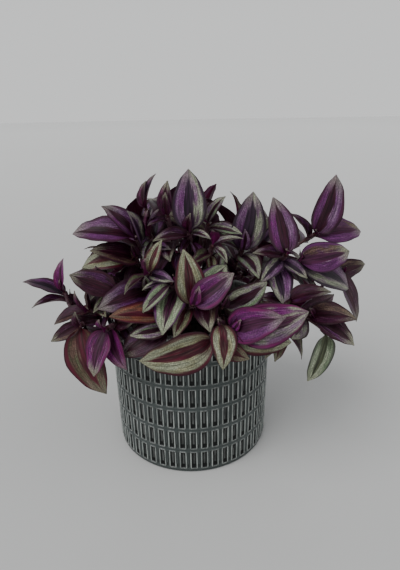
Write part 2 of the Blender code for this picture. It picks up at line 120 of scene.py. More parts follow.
# A leaf's form, drawn between these: bend and fold in degrees, wave in mm, bow as a share of its length
BEND = (18, 46)
FOLD = (12, 24)
WAVE = (-0.9, 0.9)
BOW = (-0.2, 0.2)
YOUNG_FOLD = 18
LIGHT_LEAN = 0.25

# Older leaves: length, and lean along the stem
OLD_LEAF_LENGTH = (36, 50)
OLD_LEAF_LEAN = 0.15

# Rolled leaves at the tips, on shoots with two older leaves and on the rest: lean in degrees, and length
SPEAR_LEAN, SPEAR_LENGTH = (10, 30), (17, 24)
BUD_LEAN, BUD_LENGTH = (5, 25), (11, 15)

# Ranks of the leaves that aren't in a shoot's list
SPEAR_RANK = -1
OLD_RANK = 10
SMALL_RANK = 20

# Fine blades: where the grid's rows and columns lie, and the shape that the coarse blade lacks
FINE_STATIONS = (
    -1, 0, 0.012, 0.04, 0.085, 0.14, 0.2, 0.27, 0.35,
    0.43, 0.52, 0.61, 0.7, 0.78, 0.85, 0.91, 0.955, 0.985,
)
FINE_SIDES = (-1, -0.93, -0.78, -0.58, -0.36, -0.16, 0, 0.16, 0.36, 0.58, 0.78, 0.93, 1)
KEEL_ROUNDING = 0.16
QUILTING = 0.05
MARGIN_RIPPLE = 0.55
RIPPLE_WAVES = (2.2, 3.4)
RIPPLE_LENGTH = 50
BASE_CUPPING, CUP_SPAN = 0.8, 0.07
TIP_HOOK, HOOK_START = 0.9, 0.82
TIP_FULLNESS, FULLNESS_PLACE, FULLNESS_SPAN = 0.3, 0.85, 0.1
TONE = (0.78, 1.15)

# Stems and sheaths: a sheath's rings by their place along it and by how far they stand off the stem
FINE_STEM_RADIUS = 1.45
TIP_STEM_RADIUS = 1.0
STEM_SIDES = 12
SHEATH_LENGTH = 5.0
SHEATH_SIDES = 12
SHEATH_STEPS = (1.0, 0.92, 0.55, 0.2, 0.02, -0.03, 0.06, 0.2)
SHEATH_SWELL = (-0.05, 0.30, 0.42, 0.50, 0.66, 0.50, 0.32, -0.15)
SHEATH_RIM = 4
HAIRS_PER_SHEATH = 8
HAIR_LENGTH = 1.5
HAIR_RADIUS = 0.07
HAIR_OFF_STEM = 0.5
SHOOT_SEED = 1000

# Edges bent by more than this many degrees stay sharp
SHARP_ANGLE = 80

# The materials of a shoot, and those of the soil
UPPER_SIDE, UNDER_SIDE, STEM_SKIN, SHEATH, HAIR = range(5)
PEAT, PERLITE = range(2)

# Pot relief: a raised frame in every cell, with a channel round it and a sunk panel within
FRAME_WIDTH = 6.2
FRAME_HEIGHT = 17.2
FRAME_CORNER = 0.7
CHANNEL_DEPTH = 0.75
PANEL_DEPTH = 1.15
RIDGE_STEPS = (0.4, 1.0, 1.5)
COLUMN_LINES = (0, 0.9, 1.22, 1.4, 1.62, 2.22, 2.48, 2.75)
ROW_LINES = (0, 0.65, 0.97, 1.15, 1.37, 1.97, 2.23, 2.5)

# How high the glaze counts the foot, the groove under the rim, and the rim: 1 is a frame, 0 a panel
FOOT_LEVEL = 0.6
GROOVE_LEVEL = 0.35
RIM_LEVEL = 0.9

# Soil surface: the lumps' spacing and height, and the loose crumbs
SOIL_SEED = 5
SOIL_RINGS = 30
SOIL_SPOKES = 120
LUMP_SPACING = 5
LUMP_HEIGHT = 1.1
LUMP_FRACTAL = (0.8, 2.1, 4)
SOIL_SAG = 0.6
SOIL_CRUMBS = 320
CRUMB_SIZE = (0.6, 1.9)
CRUMB_HEIGHT = 1.0
CRUMB_WOBBLE = (0.8, 1.15)
CRUMB_SUNK = 0.5
CRUMB_OFF_WALL = 4
PERLITE_SHARE = 0.06
PERLITE_SIZE = 0.7
CRUMB_CORNERS = (
    (1, 0, 0), (-1, 0, 0), (0, 1, 0), (0, -1, 0), (0, 0, 1), (0, 0, -1),
    (0.6, 0.6, 0.6), (-0.6, 0.6, 0.6), (0.6, -0.6, 0.6), (-0.6, -0.6, 0.6),
)
CRUMB_FACES = (
    (4, 6, 7), (4, 8, 6), (4, 7, 9), (4, 9, 8), (6, 0, 2), (7, 6, 2), (7, 2, 1), (9, 7, 1),
    (9, 1, 3), (8, 9, 3), (8, 3, 0), (6, 8, 0), (5, 2, 0), (5, 1, 2), (5, 3, 1), (5, 0, 3),
)

# Stage, in metres, and its colours
FLOOR_RADIUS = 20.0
FLOOR_COLOUR = (0.70, 0.70, 0.69)
WALL_COLOUR = (0.80, 0.81, 0.81)
CEILING_COLOUR = (0.30, 0.31, 0.32)

# Lights: where each comes from, how many degrees wide it is in the sky, and its power
LIGHTS = {"key": ((-0.55, -0.45, 0.8), 50, 1.7), "fill": ((0.8, -0.3, 0.7), 60, 0.4)}

# Camera: millimetres, radians
CAMERA_PLACE = (8.7, -345.0, 266.5)
CAMERA_TILT = 0.366
CAMERA_ROLL = -0.018
CAMERA_LENS = 18.947
CAMERA_SENSOR = 24.0


def unit(vector):
    vector = np.asarray(vector, float)
    return vector / np.linalg.norm(vector)


def direction(azimuth, elevation):
    """The unit vector at these angles in degrees: azimuth 0 is +X and 90 is +Y."""
    a, e = math.radians(azimuth), math.radians(elevation)
    return np.array([math.cos(e) * math.cos(a), math.cos(e) * math.sin(a), math.sin(e)])


def turned(vector, axis, degrees):
    """The vector turned about a unit axis."""
    a = math.radians(degrees)
    return (
        vector * math.cos(a)
        + np.cross(axis, vector) * math.sin(a)
        + axis * (axis @ vector) * (1 - math.cos(a))
    )


# ---------------- the plant's habit


@dataclass
class Leaf:
    """One blade: its base on the stem, the chord from base to tip, and the way its upper face looks.

    Back is how far its base lies from the stem's tip, and rank its place among its leaves, from the top.
    """

    base: np.ndarray
    chord: np.ndarray
    normal: np.ndarray
    bend: float
    fold: float
    wave: float
    bow: float
    back: float
    rank: int

    @property
    def length(self):
        return float(np.linalg.norm(self.chord))

    @property
    def axes(self):
        """Unit vectors along the chord and square to the face."""
        ahead = unit(self.chord)
        return ahead, unit(self.normal - ahead * (ahead @ self.normal))

    @property
    def half_width(self):
        return 0.5 * self.length * BLADE_ASPECT * (1 if self.length > YOUNG_LENGTH else 0.85)


@dataclass
class Shoot:
    """One leafy stem: its root, its growing tip and the way it points there, how many older leaves it keeps,
    its looks and its top leaves' reaches.

    Each reach is a leaf's tip measured from the shoot's tip. The looks name the palettes of those leaves in
    the same order; the last one serves the older leaves too.
    """

    name: str
    root: tuple
    tip: tuple
    heading: tuple
    older: int
    looks: str
    reaches: list
    rise: float = 34.0
    pull: float = 26.0
    path: np.ndarray = None
    leaves: list = field(default_factory=list)


# The shoots on the plant's best side: name, root, tip, heading, older leaves, looks, the reaches of the top
# leaves, and the stem's rise and pull where they aren't the usual ones
FRONT_SHOOTS = (
    ("heart", (0, -34), (4, -67, 146), (-65, 40), 2, "orchid straw sage straw sage",
     [(27, 0, 22), (0, 8, 36), (26, 10, 30), (-13, -12, -19)]),
    ("front_skirt", (12, -46), (17, -75, 123), (-95, 25), 0, "straw umber",
     [(-49, -13, -8), (24, -6, -12)]),
    ("right_heart", (26, -34), (31, -73, 129), (-65, 35), 2, "shine orchid straw silver",
     [(50, 0, 13), (37, -14, 1), (36, -10, -11)]),
    ("right_tail", (46, -16), (104, -42, 109), (-107, 20), 1, "green moss", [(-15, -12, -34)], 44),
    ("left_trail", (-46, -18), (-95, -26, 142), (-30, 80), 0, "magenta plum dusk",
     [(1, 4, 24), (-30, 0, 8), (-22, -8, -2)], 52, 55),
    ("crown", (0, -12), (2, -30, 188), (-90, 30), 2, "two_tone silver dusk",
     [(0, 8, 42), (14, -16, 6), (-22, -10, 2)]),
    ("crown_spear", (-8, 2), (-14, -22, 198), (-95, 60), 2, "spear dusk",
     [(1, 0, 24), (-14, -8, -6)]),
    ("left_wing", (-30, -20), (-37, -30, 184), (-100, 30), 2, "violet glow two_tone dusk",
     [(-46, 2, 3), (-26, 2, 20), (-14, -4, 22)]),
    ("left_fringe", (-34, -10), (-38, -28, 168), (-115, 40), 1, "straw maroon maroon",
     [(-40, -4, -6), (-30, -12, 12)]),
    ("right_fan", (36, -20), (72, -34, 170), (-103, 25), 1, "glow dusk two_tone",
     [(-10, 8, 40), (-24, -4, 4), (-20, -10, -18)]),
    ("right_mast", (48, 0), (101, 0, 176), (-103, 25), 1, "glow smoky dusk",
     [(13, 2, 45), (40, 4, 8), (-20, 2, 16)], 50),
    ("right_spire", (28, -10), (41, -20, 170), (-90, 35), 2, "two_tone silver silver",
     [(8, 6, 42), (-16, -8, 16), (10, -22, -12)]),
    ("left_skirt", (-40, -38), (-77, -56, 126), (-92, 30), 2, "umber maroon dusk",
     [(17, -16, -47), (-20, -6, -10)]),
    ("left_corner", (-28, -44), (-57, -65, 128), (-100, 20), 2, "magenta magenta dusk maroon",
     [(-9, -13, -30), (2, -16, -25), (-8, -8, 12)]),
    ("right_star", (42, -30), (92, -46, 125), (-70, 30), 0, "dusk maroon silver dusk dusk",
     [(27, -14, -16), (30, -4, -4), (-20, -22, -6), (18, 8, 12), (4, 14, 22)], 40),
    ("right_shade", (30, -20), (76, -50, 140), (-75, 40), 0, "moss dusk silver dusk",
     [(-16, -16, -6), (24, -8, 8), (8, -16, -16)]),
    ("right_skirt", (36, -42), (66, -62, 122), (-75, 25), 1, "moss umber moss",
     [(24, 0, -16), (-2, -18, -10)]),
    ("front_left", (-22, -38), (-14, -66, 128), (-105, 20), 0, "silver dusk",
     [(-25, -8, -1), (-36, -7, -12)]),
    ("front_russet", (-8, -44), (-13, -61, 136), (-105, 55), 1, "russet dusk", [(-41, -4, 2)]),
    ("front_flag", (24, -42), (22, -72, 134), (-100, 15), 0, "straw straw",
     [(1, -15, -27), (16, -14, -28)]),
    ("left_eye", (-16, -30), (-27, -50, 163), (-90, 30), 2, "straw two_tone moss dusk",
     [(10, 2, 23), (18, -12, -2), (-14, -10, -4)]),
    ("left_bank", (-36, -30), (-52, -46, 149), (-120, 35), 2, "dusk moss dusk",
     [(-31, -1, 13), (-18, -6, -10)]),
    ("left_shelf", (-42, -12), (-58, -34, 156), (-130, 40), 2, "moss silver dusk",
     [(-26, -1, 6), (-14, -12, -12)]),
    ("left_ledge", (-46, -28), (-73, -48, 134), (-135, 35), 2, "maroon straw dusk",
     [(-24, -4, -8), (-34, 2, -17), (-10, -8, 14)]),
    ("heart_left", (-12, -26), (-11, -57, 158), (-105, 40), 1, "sage two_tone sage",
     [(-20, -8, -18), (-22, 0, 4), (10, -4, 20)]),
    ("right_behind", (20, -22), (24, -60, 140), (-65, 40), 1, "silver moss silver",
     [(31, 4, 17), (32, 6, -2)]),
    ("middle", (10, -18), (18, -36, 178), (-85, 35), 2, "silver silver moss",
     [(10, -10, -10), (20, -4, 6), (-14, -12, -6)]),
    ("crown_left", (-18, -8), (-28, -20, 182), (-110, 55), 2, "plum silver lilac plum",
     [(9, -2, 21), (-4, -14, -14), (14, -14, -6)]),
    ("crown_young", (-14, 6), (-31, -6, 200), (-100, 80), 2, "plum moss plum",
     [(8, 2, 25), (-8, -4, 12)]),
    ("crown_right", (12, -4), (16, -18, 190), (-70, 45), 2, "silver silver moss",
     [(12, -2, 20), (24, -10, -6)]),
    ("right_arm", (42, -4), (82, -28, 162), (-70, 35), 0, "smoky two_tone dusk",
     [(41, 10, 5), (50, 2, -15), (14, -14, -18)], 50),
    ("right_hook", (52, 8), (118, -6, 144), (-60, 15), 0, "dusk maroon plum",
     [(18, -10, -38), (28, 6, 2)], 50),
)

# The shoots that fill the rest, in tiers: each spreads its shoots evenly over an arc round the pot. Their
# count, arc, reach, height, root radius and elevation
TIERS = {
    "back_low": (6, (6, 160), 88, 126, 46, 10),
    "back_mid": (6, (4, 176), 66, 156, 32, 35),
    "back_top": (4, (10, 170), 36, 186, 16, 60),
    "inner": (7, (0, 360), 48, 146, 26, 45),
}

# The length and the opening, in degrees, of the top leaves of those shoots
ROSETTE = ((27, 35), (42, 55), (50, 78))


def shoots_by_rule(rng):
    """The shoots of TIERS, each a little out of line."""
    shoots = []
    for tier, (count, arc, reach, height, root_radius, elevation) in TIERS.items():
        for k in range(count):
            azimuth = arc[0] + (arc[1] - arc[0]) * (k + 0.5) / count + rng.uniform(-6, 6)
            out = reach + rng.uniform(-8, 8)
            tip = (*(out * direction(azimuth, 0)[:2]), height + rng.uniform(-9, 9))
            root = tuple(root_radius * direction(azimuth + rng.uniform(-8, 8), 0)[:2])
            heading = (azimuth + rng.uniform(-25, 25), elevation + rng.uniform(-10, 10))
            shoots.append(Shoot(f"{tier}_{k + 1}", root, tip, heading, 0, "", rosette(heading, rng)))
    return shoots


def rosette(heading, rng):
    """The reaches of a shoot's top leaves, in two ranks: each leaf longer and opened wider than the last."""
    ahead = direction(*heading)
    side = unit(np.cross(ahead, UP))
    up = np.cross(side, ahead)
    roll = rng.uniform(-60, 60)
    reaches = []
    for k, (length, opening) in enumerate(ROSETTE):
        clock = math.radians(roll + 180 * k + rng.uniform(-20, 20))
        spread = math.radians(opening)
        out = math.cos(clock) * up + math.sin(clock) * side
        reaches.append(tuple(length * (math.cos(spread) * ahead + math.sin(spread) * out)))
    return reaches


def stem_path(shoot, rise, pull, sway):
    """Points up the stem's centre line: straight up out of its hole, then one smooth curve to the tip."""
    p0 = np.array([*shoot.root, SOIL_TOP], float)
    p3 = np.array(shoot.tip, float)
    aside = sway * unit(np.cross(p3 - p0, (0, 0.1, 1)))
    p1 = p0 + (0, 0, rise) + aside
    p2 = p3 - pull * direction(*shoot.heading) + aside
    t = np.linspace(0, 1, STEM_STEPS)[:, None]
    curve = (1 - t) ** 3 * p0 + 3 * t * (1 - t) ** 2 * p1 + 3 * t**2 * (1 - t) * p2 + t**3 * p3
    return np.vstack([p0 - (0, 0, STEM_BURIED), curve])


def along(path, back):
    """The point this far back from the tip of a path, and the way the path runs there."""
    for low, high in zip(path[-2::-1], path[:0:-1]):
        step = np.linalg.norm(high - low)
        if back <= step:
            return high + (low - high) * back / step, (high - low) / step
        back -= step
    return path[0], unit(path[1] - path[0])


def half_width_share(u):
    """A blade's half width along its length, as a share of the widest: ovate, with a drawn-out point."""
    return 2.44 * (u + 0.002) ** 0.5 * (1 - u) ** 0.88 * (1 - 0.22 * u**5)


def blade_points(leaf, stations, sides, margin=0.0, lift=0.0):
    """The blade's surface as an array of stations by sides: margin widens and lengthens it, lift raises it.

    The blade runs over stations 0 to 1. Below station 0 is its neck, which ends in the middle of the stem.
    """
    u = np.asarray(stations, float)[:, None]
    s = np.asarray(sides, float)[None, :]
    ahead, normal = leaf.axes
    across = np.cross(ahead, normal)
    length = leaf.length + margin
    neck = NECK_LENGTH / length
    t = np.where(u < 0, 0, neck + (1 - neck) * u)
    bend = math.radians(leaf.bend)
    run = length * (math.sin(bend / 2) - np.sin(bend / 2 - bend * t)) / (2 * math.sin(bend / 2))
    arch = length * (np.cos(bend / 2 - bend * t) - math.cos(bend / 2)) / bend
    half = np.maximum(NECK_HALF_WIDTH, leaf.half_width * half_width_share(np.maximum(u, 0))) + margin
    half[u[:, 0] >= 1] = 0
    fold = np.radians(leaf.fold * (1.25 - 0.75 * t))
    wave = leaf.wave * np.sin(2.2 * math.pi * t + leaf.wave * 5) * s * half / leaf.half_width
    side = s * half * np.cos(fold) + leaf.bow * length * (t * t - t)
    height = arch + np.abs(s) * half * np.sin(fold) + wave + lift
    return leaf.base + run[..., None] * ahead + side[..., None] * across + height[..., None] * normal


def stations_of(leaf):
    return BLADE_STATIONS if leaf.length > YOUNG_LENGTH else YOUNG_STATIONS


def sheet(leaf, stations, margin=0.0, lift=0.0):
    """A blade's surface as points: its root, two at the neck, then three at each station, and one tip."""
    grid = blade_points(leaf, (-1, *stations), (-1, 0, 1), margin, lift)
    return [grid[0, 1], grid[1, 0], grid[1, 2], *grid[2:-1].reshape(-1, 3), grid[-1, 1]]


def halved(quads):
    """The triangles that four-sided faces fall into."""
    return [triangle for a, b, c, d in quads for triangle in ((a, b, c), (a, c, d))]


def ring_quads(rings, sides, start=0):
    """The four-sided faces between rings of points that follow one another, from this point on."""
    quads = []
    for first in range(start, start + (rings - 1) * sides, sides):
        for k in range(sides):
            a, b = first + k, first + (k + 1) % sides
            quads.append((a, b, b + sides, a + sides))
    return quads


def ring_face(ring, sides, start=0):
    """One whole ring as a face."""
    first = start + ring * sides
    return tuple(range(first, first + sides))


def sheet_faces(stations):
    """The triangles of a blade's surface."""
    rows = len(stations) - 2
    faces = [(0, 1, 2), (1, 3, 4), (1, 4, 2), (2, 4, 5)]
    for row in range(rows - 1):
        for j in (3 + 3 * row, 4 + 3 * row):
            faces += [(j, j + 4, j + 1), (j, j + 3, j + 4)]
    left, tip = 3 * rows, 3 * rows + 3
    return faces + [(left, tip, left + 1), (left + 1, tip, left + 2)]


def sheet_rim(stations):
    """The closed loop of points round a blade's edge."""
    rows = len(stations) - 2
    left = [3 + 3 * row for row in range(rows)]
    return [0, 1, *left, 3 * rows + 3, *(i + 2 for i in reversed(left)), 2]


def blade_sheet(leaf):
    """The blade's middle surface as (points, triangles)."""
    stations = stations_of(leaf)
    return sheet(leaf, stations), sheet_faces(stations)


def blade_hull(leaf, stations):
    """A shell that keeps LEAF_CLEARANCE off the blade's given stations, as (points, triangles)."""
    lift = LEAF_CLEARANCE + BLADE_THICKNESS / 2
    upper = sheet(leaf, stations, LEAF_CLEARANCE, lift)
    lower = sheet(leaf, stations, LEAF_CLEARANCE, -lift)
    half = len(upper)
    faces = sheet_faces(stations) + [tuple(i + half for i in face) for face in sheet_faces(stations)]
    rim = sheet_rim(stations)
    faces += halved((a, b, b + half, a + half) for a, b in zip(rim, rim[1:] + rim[:1]))
    return upper + lower, faces


def outer_hull(leaf):
    """The same shell round the blade's outer part only, which its sisters must clear."""
    points, faces = blade_hull(leaf, SISTER_STATIONS)
    roots = {0, len(points) // 2}
    return points, [face for face in faces if not roots & set(face)]


def square_to(ahead):
    """Two unit vectors square to a direction and to each other."""
    side = unit(np.cross(ahead, (0.3, 1, 0.1)))
    return side, np.cross(ahead, side)


def circle(side, up, count):
    """Unit vectors all the way round, from side towards up."""
    turn = np.linspace(0, 2 * math.pi, count, endpoint=False)[:, None]
    return np.cos(turn) * side + np.sin(turn) * up


def tube_faces(path, radius):
    """A plain tube along a path as (points, triangles), for testing what crosses a stem."""
    points = []
    for i, centre in enumerate(path):
        ahead = unit(path[min(i + 1, len(path) - 1)] - path[max(i - 1, 0)])
        points += list(centre + radius * circle(*square_to(ahead), TUBE_SIDES))
    return points, halved(ring_quads(len(path), TUBE_SIDES))


def turned_skin(profile):
    """An open surface turned from a profile of (radius, z), as (points, triangles)."""
    around = circle(np.array((1, 0, 0)), np.array((0, 1, 0)), SKIN_SIDES)
    points = [point for radius, z in profile for point in radius * around + (0, 0, z)]
    return points, halved(quad[::-1] for quad in ring_quads(len(profile), SKIN_SIDES))


def pot_envelope():
    """A skin round the pot's walls, for testing what would touch them."""
    inside = POT_INNER_RADIUS - POT_CLEARANCE
    outside = POT_RIM_RADIUS + POT_CLEARANCE
    top = POT_HEIGHT + POT_CLEARANCE
    return turned_skin([(outside, 0), (outside, top), (inside, top), (inside, SOIL_TOP)])


def soil_envelope():
    """A skin over the soil, for testing what would touch it."""
    height = SOIL_TOP + SOIL_CLEARANCE
    return turned_skin([(POT_INNER_RADIUS, height), (STEM_RADIUS, height)])


class Room:
    """What already takes up space, by owner, so that a newcomer can be tested against it."""

    def __init__(self):
        self.solids = {}

    def add(self, owner, points, faces):
        self.solids.setdefault(owner, []).append((points, faces))

    def tree(self, owners):
        points, faces = [], []
        for owner in owners:
            for more_points, more_faces in self.solids.get(owner, []):
                faces += [tuple(i + len(points) for i in face) for face in more_faces]
                points += list(more_points)
        return BVHTree.FromPolygons(points, faces) if faces else None

    def others(self, owner):
        return self.tree([name for name in self.solids if name not in (owner, owner + " blades")])

    def own(self, owner):
        return self.tree([owner, owner + " blades"])


def crosses(points, faces, trees):
    tree = BVHTree.FromPolygons(points, faces)
    return any(other is not None and tree.overlap(other) for other in trees)


def lay_stems(shoots, room):
    """The shoots whose stem finds a curve that clears the pot and the stems before it, with that curve."""
    laid = []
    for shoot in shoots:
        tree = room.tree(list(room.solids))
        for sway, pull, rise in product(STEM_SWAYS, STEM_PULLS, STEM_RISES):
            path = stem_path(shoot, rise * shoot.rise, pull * shoot.pull, sway)
            if not crosses(*tube_faces(path[1:], STEM_RADIUS + LEAF_CLEARANCE), [tree]):
                shoot.path = path
                room.add(shoot.name, *tube_faces(path, STEM_RADIUS))
                laid.append(shoot)
                break
    return laid


def postures(widest):
    """Small turns of a leaf about its base, mildest first: (across, up or down, roll)."""
    found = []
    for ring in range(0, widest + 1, TURN_STEP):
        for k in range(TURN_WAYS if ring else 1):
            a = math.radians(360 / TURN_WAYS * k)
            found += [(ring * math.cos(a), ring * math.sin(a), roll) for roll in LEAF_ROLLS]
    return sorted(found, key=lambda p: math.hypot(p[0], p[1]) + ROLL_COST * abs(p[2]))


def place_leaf(shoot, rank, back, chord, widest, room, rng):
    """Gives the shoot a leaf in its mildest posture that clears other shoots and its sisters, if any does."""
    base, ahead = along(shoot.path, back)
    # The upper face looks along the stem, and a little to the light.
    normal = unit(ahead + LIGHT_LEAN * np.array(UP))
    bend, fold = rng.uniform(*BEND), rng.uniform(*FOLD)
    wave, bow = rng.uniform(*WAVE), rng.uniform(*BOW)
    if np.linalg.norm(chord) < YOUNG_LENGTH:
        fold += YOUNG_FOLD
    side = np.cross(chord, normal)
    side = unit(side) if np.linalg.norm(side) > 1 else unit(np.cross(chord, (1, 0, 0.2)))
    others, own = room.others(shoot.name), room.own(shoot.name)
    for size, (yaw, pitch, roll) in product(LEAF_SIZES, postures(widest)):
        turned_chord = turned(turned(chord * size, normal, yaw), side, pitch)
        turned_normal = turned(turned(normal, side, pitch), unit(turned_chord), roll)
        leaf = Leaf(base, turned_chord, turned_normal, bend, fold, wave, bow, back, rank)
        hull = blade_hull(leaf, stations_of(leaf))
        low = min(point[2] for point in hull[0])
        if low > LEAF_LOWEST and not crosses(*hull, [others]) and not crosses(*outer_hull(leaf), [own]):
            shoot.leaves.append(leaf)
            room.add(shoot.name + " blades", *blade_sheet(leaf))
            return


def grow_plant():
    """Every shoot with its stem and leaves in place: top leaves first, then, on shoots that keep two older
    leaves, a rolled young one, then the older ones, and last the small ones that the solids leave out."""
    rng = random.Random(SEED)
    room = Room()
    room.add("pot", *pot_envelope())
    shoots = lay_stems([Shoot(*row) for row in FRONT_SHOOTS] + shoots_by_rule(rng), room)
    room.add("soil", *soil_envelope())
    for shoot in shoots:
        add_top_leaves(shoot, room, rng)
    for shoot in shoots:
        if shoot.older >= 2:
            add_rolled_leaf(shoot, SPEAR_LEAN, SPEAR_LENGTH, room, rng)
    for shoot in shoots:
        add_older_leaves(shoot, room, rng)
    for shoot in shoots:
        add_small_leaves(shoot, room, rng)
    return shoots


def add_top_leaves(shoot, room, rng):
    for k, reach in enumerate(shoot.reaches):
        back = FIRST_NODE + NODE_SPACING * k
        base, _ = along(shoot.path, back)
        place_leaf(shoot, k, back, np.array(shoot.tip) + reach - base, TOP_LEAF_TURN, room, rng)


def add_rolled_leaf(shoot, lean, length, room, rng):
    """Gives the shoot a rolled leaf that leans out from its tip."""
    ahead = direction(*shoot.heading)
    side = unit(np.cross(ahead, (0.1, 0.2, 1)))
    chord = turned(ahead, side, rng.uniform(*lean)) * rng.uniform(*length)
    place_leaf(shoot, SPEAR_RANK, FIRST_NODE, chord, SPEAR_TURN, room, rng)


def add_older_leaves(shoot, room, rng):
    """Gives the shoot its older leaves, in two ranks down the stem, as far as they stay off the soil."""
    turn = rng.uniform(0, 360)
    for k in range(shoot.older):
        back = NODE_SPACING * len(shoot.reaches) + OLD_LEAF_SPACING * (k + 0.6)
        base, ahead = along(shoot.path, back)
        if base[2] < SOIL_TOP + OLD_LEAF_LOWEST:
            break
        side = turned(unit(np.cross(ahead, (0.2, 0.1, 1))), ahead, turn + 180 * k)
        chord = rng.uniform(*OLD_LEAF_LENGTH) * unit(side + OLD_LEAF_LEAN * ahead)
        place_leaf(shoot, OLD_RANK + k, back, chord, OLD_LEAF_TURN, room, rng)


def add_small_leaves(shoot, room, rng):
    """Gives the shoot a rolled bud at its tip if it has no rolled leaf, and its SMALL_LEAVES."""
    if all(leaf.rank != SPEAR_RANK for leaf in shoot.leaves):
        add_rolled_leaf(shoot, BUD_LEAN, BUD_LENGTH, room, rng)
    for k, (back, chord, _) in enumerate(SMALL_LEAVES.get(shoot.name, ())):
        place_leaf(shoot, SMALL_RANK + k, back, np.array(chord), OLD_LEAF_TURN, room, rng)


# ---------------- colours of the blades

SILVER = (0.30, 0.32, 0.23)
PALE_GREEN = (0.33, 0.37, 0.26)
SAGE = (0.19, 0.26, 0.15)
STRAW = (0.25, 0.245, 0.14)
LILAC = (0.19, 0.095, 0.19)
VIOLET = (0.13, 0.026, 0.13)
PLUM = (0.09, 0.016, 0.085)
ORCHID = (0.15, 0.009, 0.13)
MAGENTA = (0.13, 0.005, 0.075)
RUSSET = (0.20, 0.07, 0.042)
UMBER = (0.11, 0.062, 0.045)
MOSS = (0.085, 0.095, 0.045)
DUSK = (0.055, 0.009, 0.035)
WINE = (0.035, 0.004, 0.014)
BURGUNDY = (0.070, 0.006, 0.017)
INK = (0.026, 0.011, 0.026)
OLIVE = (0.060, 0.065, 0.035)
GREY_GREEN = (0.085, 0.10, 0.07)
DEEP_PINK = (0.075, 0.005, 0.030)

# What a palette names: a blade's two bands, the flush that clouds both, the stripe between them, its margin,
# and its underside, which is DEEP_PINK where there are only five. The first three vary from blade to blade.
COLOUR_NAMES = ("band_left", "band_right", "flush", "core", "edge", "under")
VARYING = 3

PALETTES = {
    "silver": (SILVER, SAGE, LILAC, WINE, WINE),
    "sage": (SAGE, SAGE, SILVER, DUSK, PLUM),
    "straw": (STRAW, STRAW, SILVER, BURGUNDY, BURGUNDY),
    "two_tone": (LILAC, SILVER, VIOLET, INK, INK),
    "plum": (PLUM, VIOLET, DUSK, INK, WINE),
    "lilac": (LILAC, LILAC, VIOLET, INK, WINE),
    "violet": (VIOLET, LILAC, PLUM, WINE, DUSK),
    "orchid": (ORCHID, VIOLET, PLUM, DUSK, MAGENTA),
    "magenta": (ORCHID, ORCHID, MAGENTA, DUSK, MAGENTA, MAGENTA),
    "shine": (ORCHID, LILAC, SILVER, DUSK, MAGENTA),
    "dusk": (DUSK, PLUM, WINE, WINE, WINE),
    "maroon": (UMBER, DUSK, WINE, WINE, WINE),
    "green": (PALE_GREEN, PALE_GREEN, SAGE, OLIVE, GREY_GREEN),
    "smoky": (UMBER, VIOLET, PLUM, DUSK, PLUM),
    "glow": (ORCHID, LILAC, VIOLET, WINE, DUSK),
    "moss": (MOSS, MOSS, DUSK, WINE, WINE),
    "umber": (UMBER, UMBER, MOSS, BURGUNDY, BURGUNDY),
    "russet": (RUSSET, RUSSET, UMBER, BURGUNDY, BURGUNDY),
    "spear": (MAGENTA, DUSK, WINE, WINE, DUSK, MAGENTA),
}

# The palettes that the other shoots draw from
COMMON_LOOKS = ("silver", "two_tone", "plum", "straw", "violet", "maroon", "moss", "dusk")

# Small leaves that only the looks have: how far back along its stem each sits, its chord, and its palette
SMALL_LEAVES = {
    "left_trail": (
        (3, (10, -1, -12), "dusk"), (14, (18, -11, 11), "silver"), (22, (24, -9, 1), "maroon"),
        (30, (-9, -7, 17), "moss"),
    ),
    "left_skirt": (
        (3, (12, 5, 1), "dusk"), (18, (4, -20, -8), "maroon"), (24, (-13, -16, -14), "magenta"),
    ),
    "left_corner": (
        (3, (-18, 10, -2), "dusk"), (12, (3, 4, -17), "maroon"), (14, (14, -16, 8), "maroon"),
        (18, (18, -16, -12), "dusk"), (27, (-12, -19, 8), "straw"),
    ),
    "left_ledge": ((6, (-2, 3, 22), "maroon"), (9, (-4, 9, 26), "dusk"), (12, (7, -16, 2), "straw")),
    "left_shelf": ((9, (-13, -10, -20), "dusk"),),
    "crown": ((14, (-6, -15, -7), "dusk"), (18, (7, -23, -9), "violet")),
    "middle": ((14, (1, -18, -10), "straw"),),
    "right_fan": ((14, (18, -14, -9), "two_tone"),),
    "right_star": ((15, (-7, -15, -12), "maroon"), (22, (-1, -23, -15), "two_tone")),
    "right_shade": ((14, (-18, -12, 10), "dusk"), (18, (20, -14, 14), "maroon")),
    "right_arm": ((14, (-4, -13, -12), "plum"), (18, (18, -13, -18), "dusk")),
    "right_hook": ((9, (-7, -11, -10), "plum"),),
    "right_skirt": ((12, (-5, -8, -23), "moss"),),
}

# The rolled young leaves that are brighter than most
SPEAR_LOOKS = {
    "heart": "magenta",
    "right_heart": "magenta",
    "left_corner": "magenta",
    "right_spire": "violet",
}


def palette_of(shoot, leaf, chance):
    """The palette of one leaf: by its shoot's looks on the best side, and drawn elsewhere."""
    if leaf.rank == SPEAR_RANK:
        return PALETTES[SPEAR_LOOKS.get(shoot.name, "spear")]
    if leaf.rank >= SMALL_RANK:
        return PALETTES[SMALL_LEAVES[shoot.name][leaf.rank - SMALL_RANK][2]]
    looks = shoot.looks.split()
    if not looks:
        return PALETTES[chance.choice(COMMON_LOOKS)]
    return PALETTES[looks[min(leaf.rank, len(looks) - 1)]]


# ---------------- fine meshes


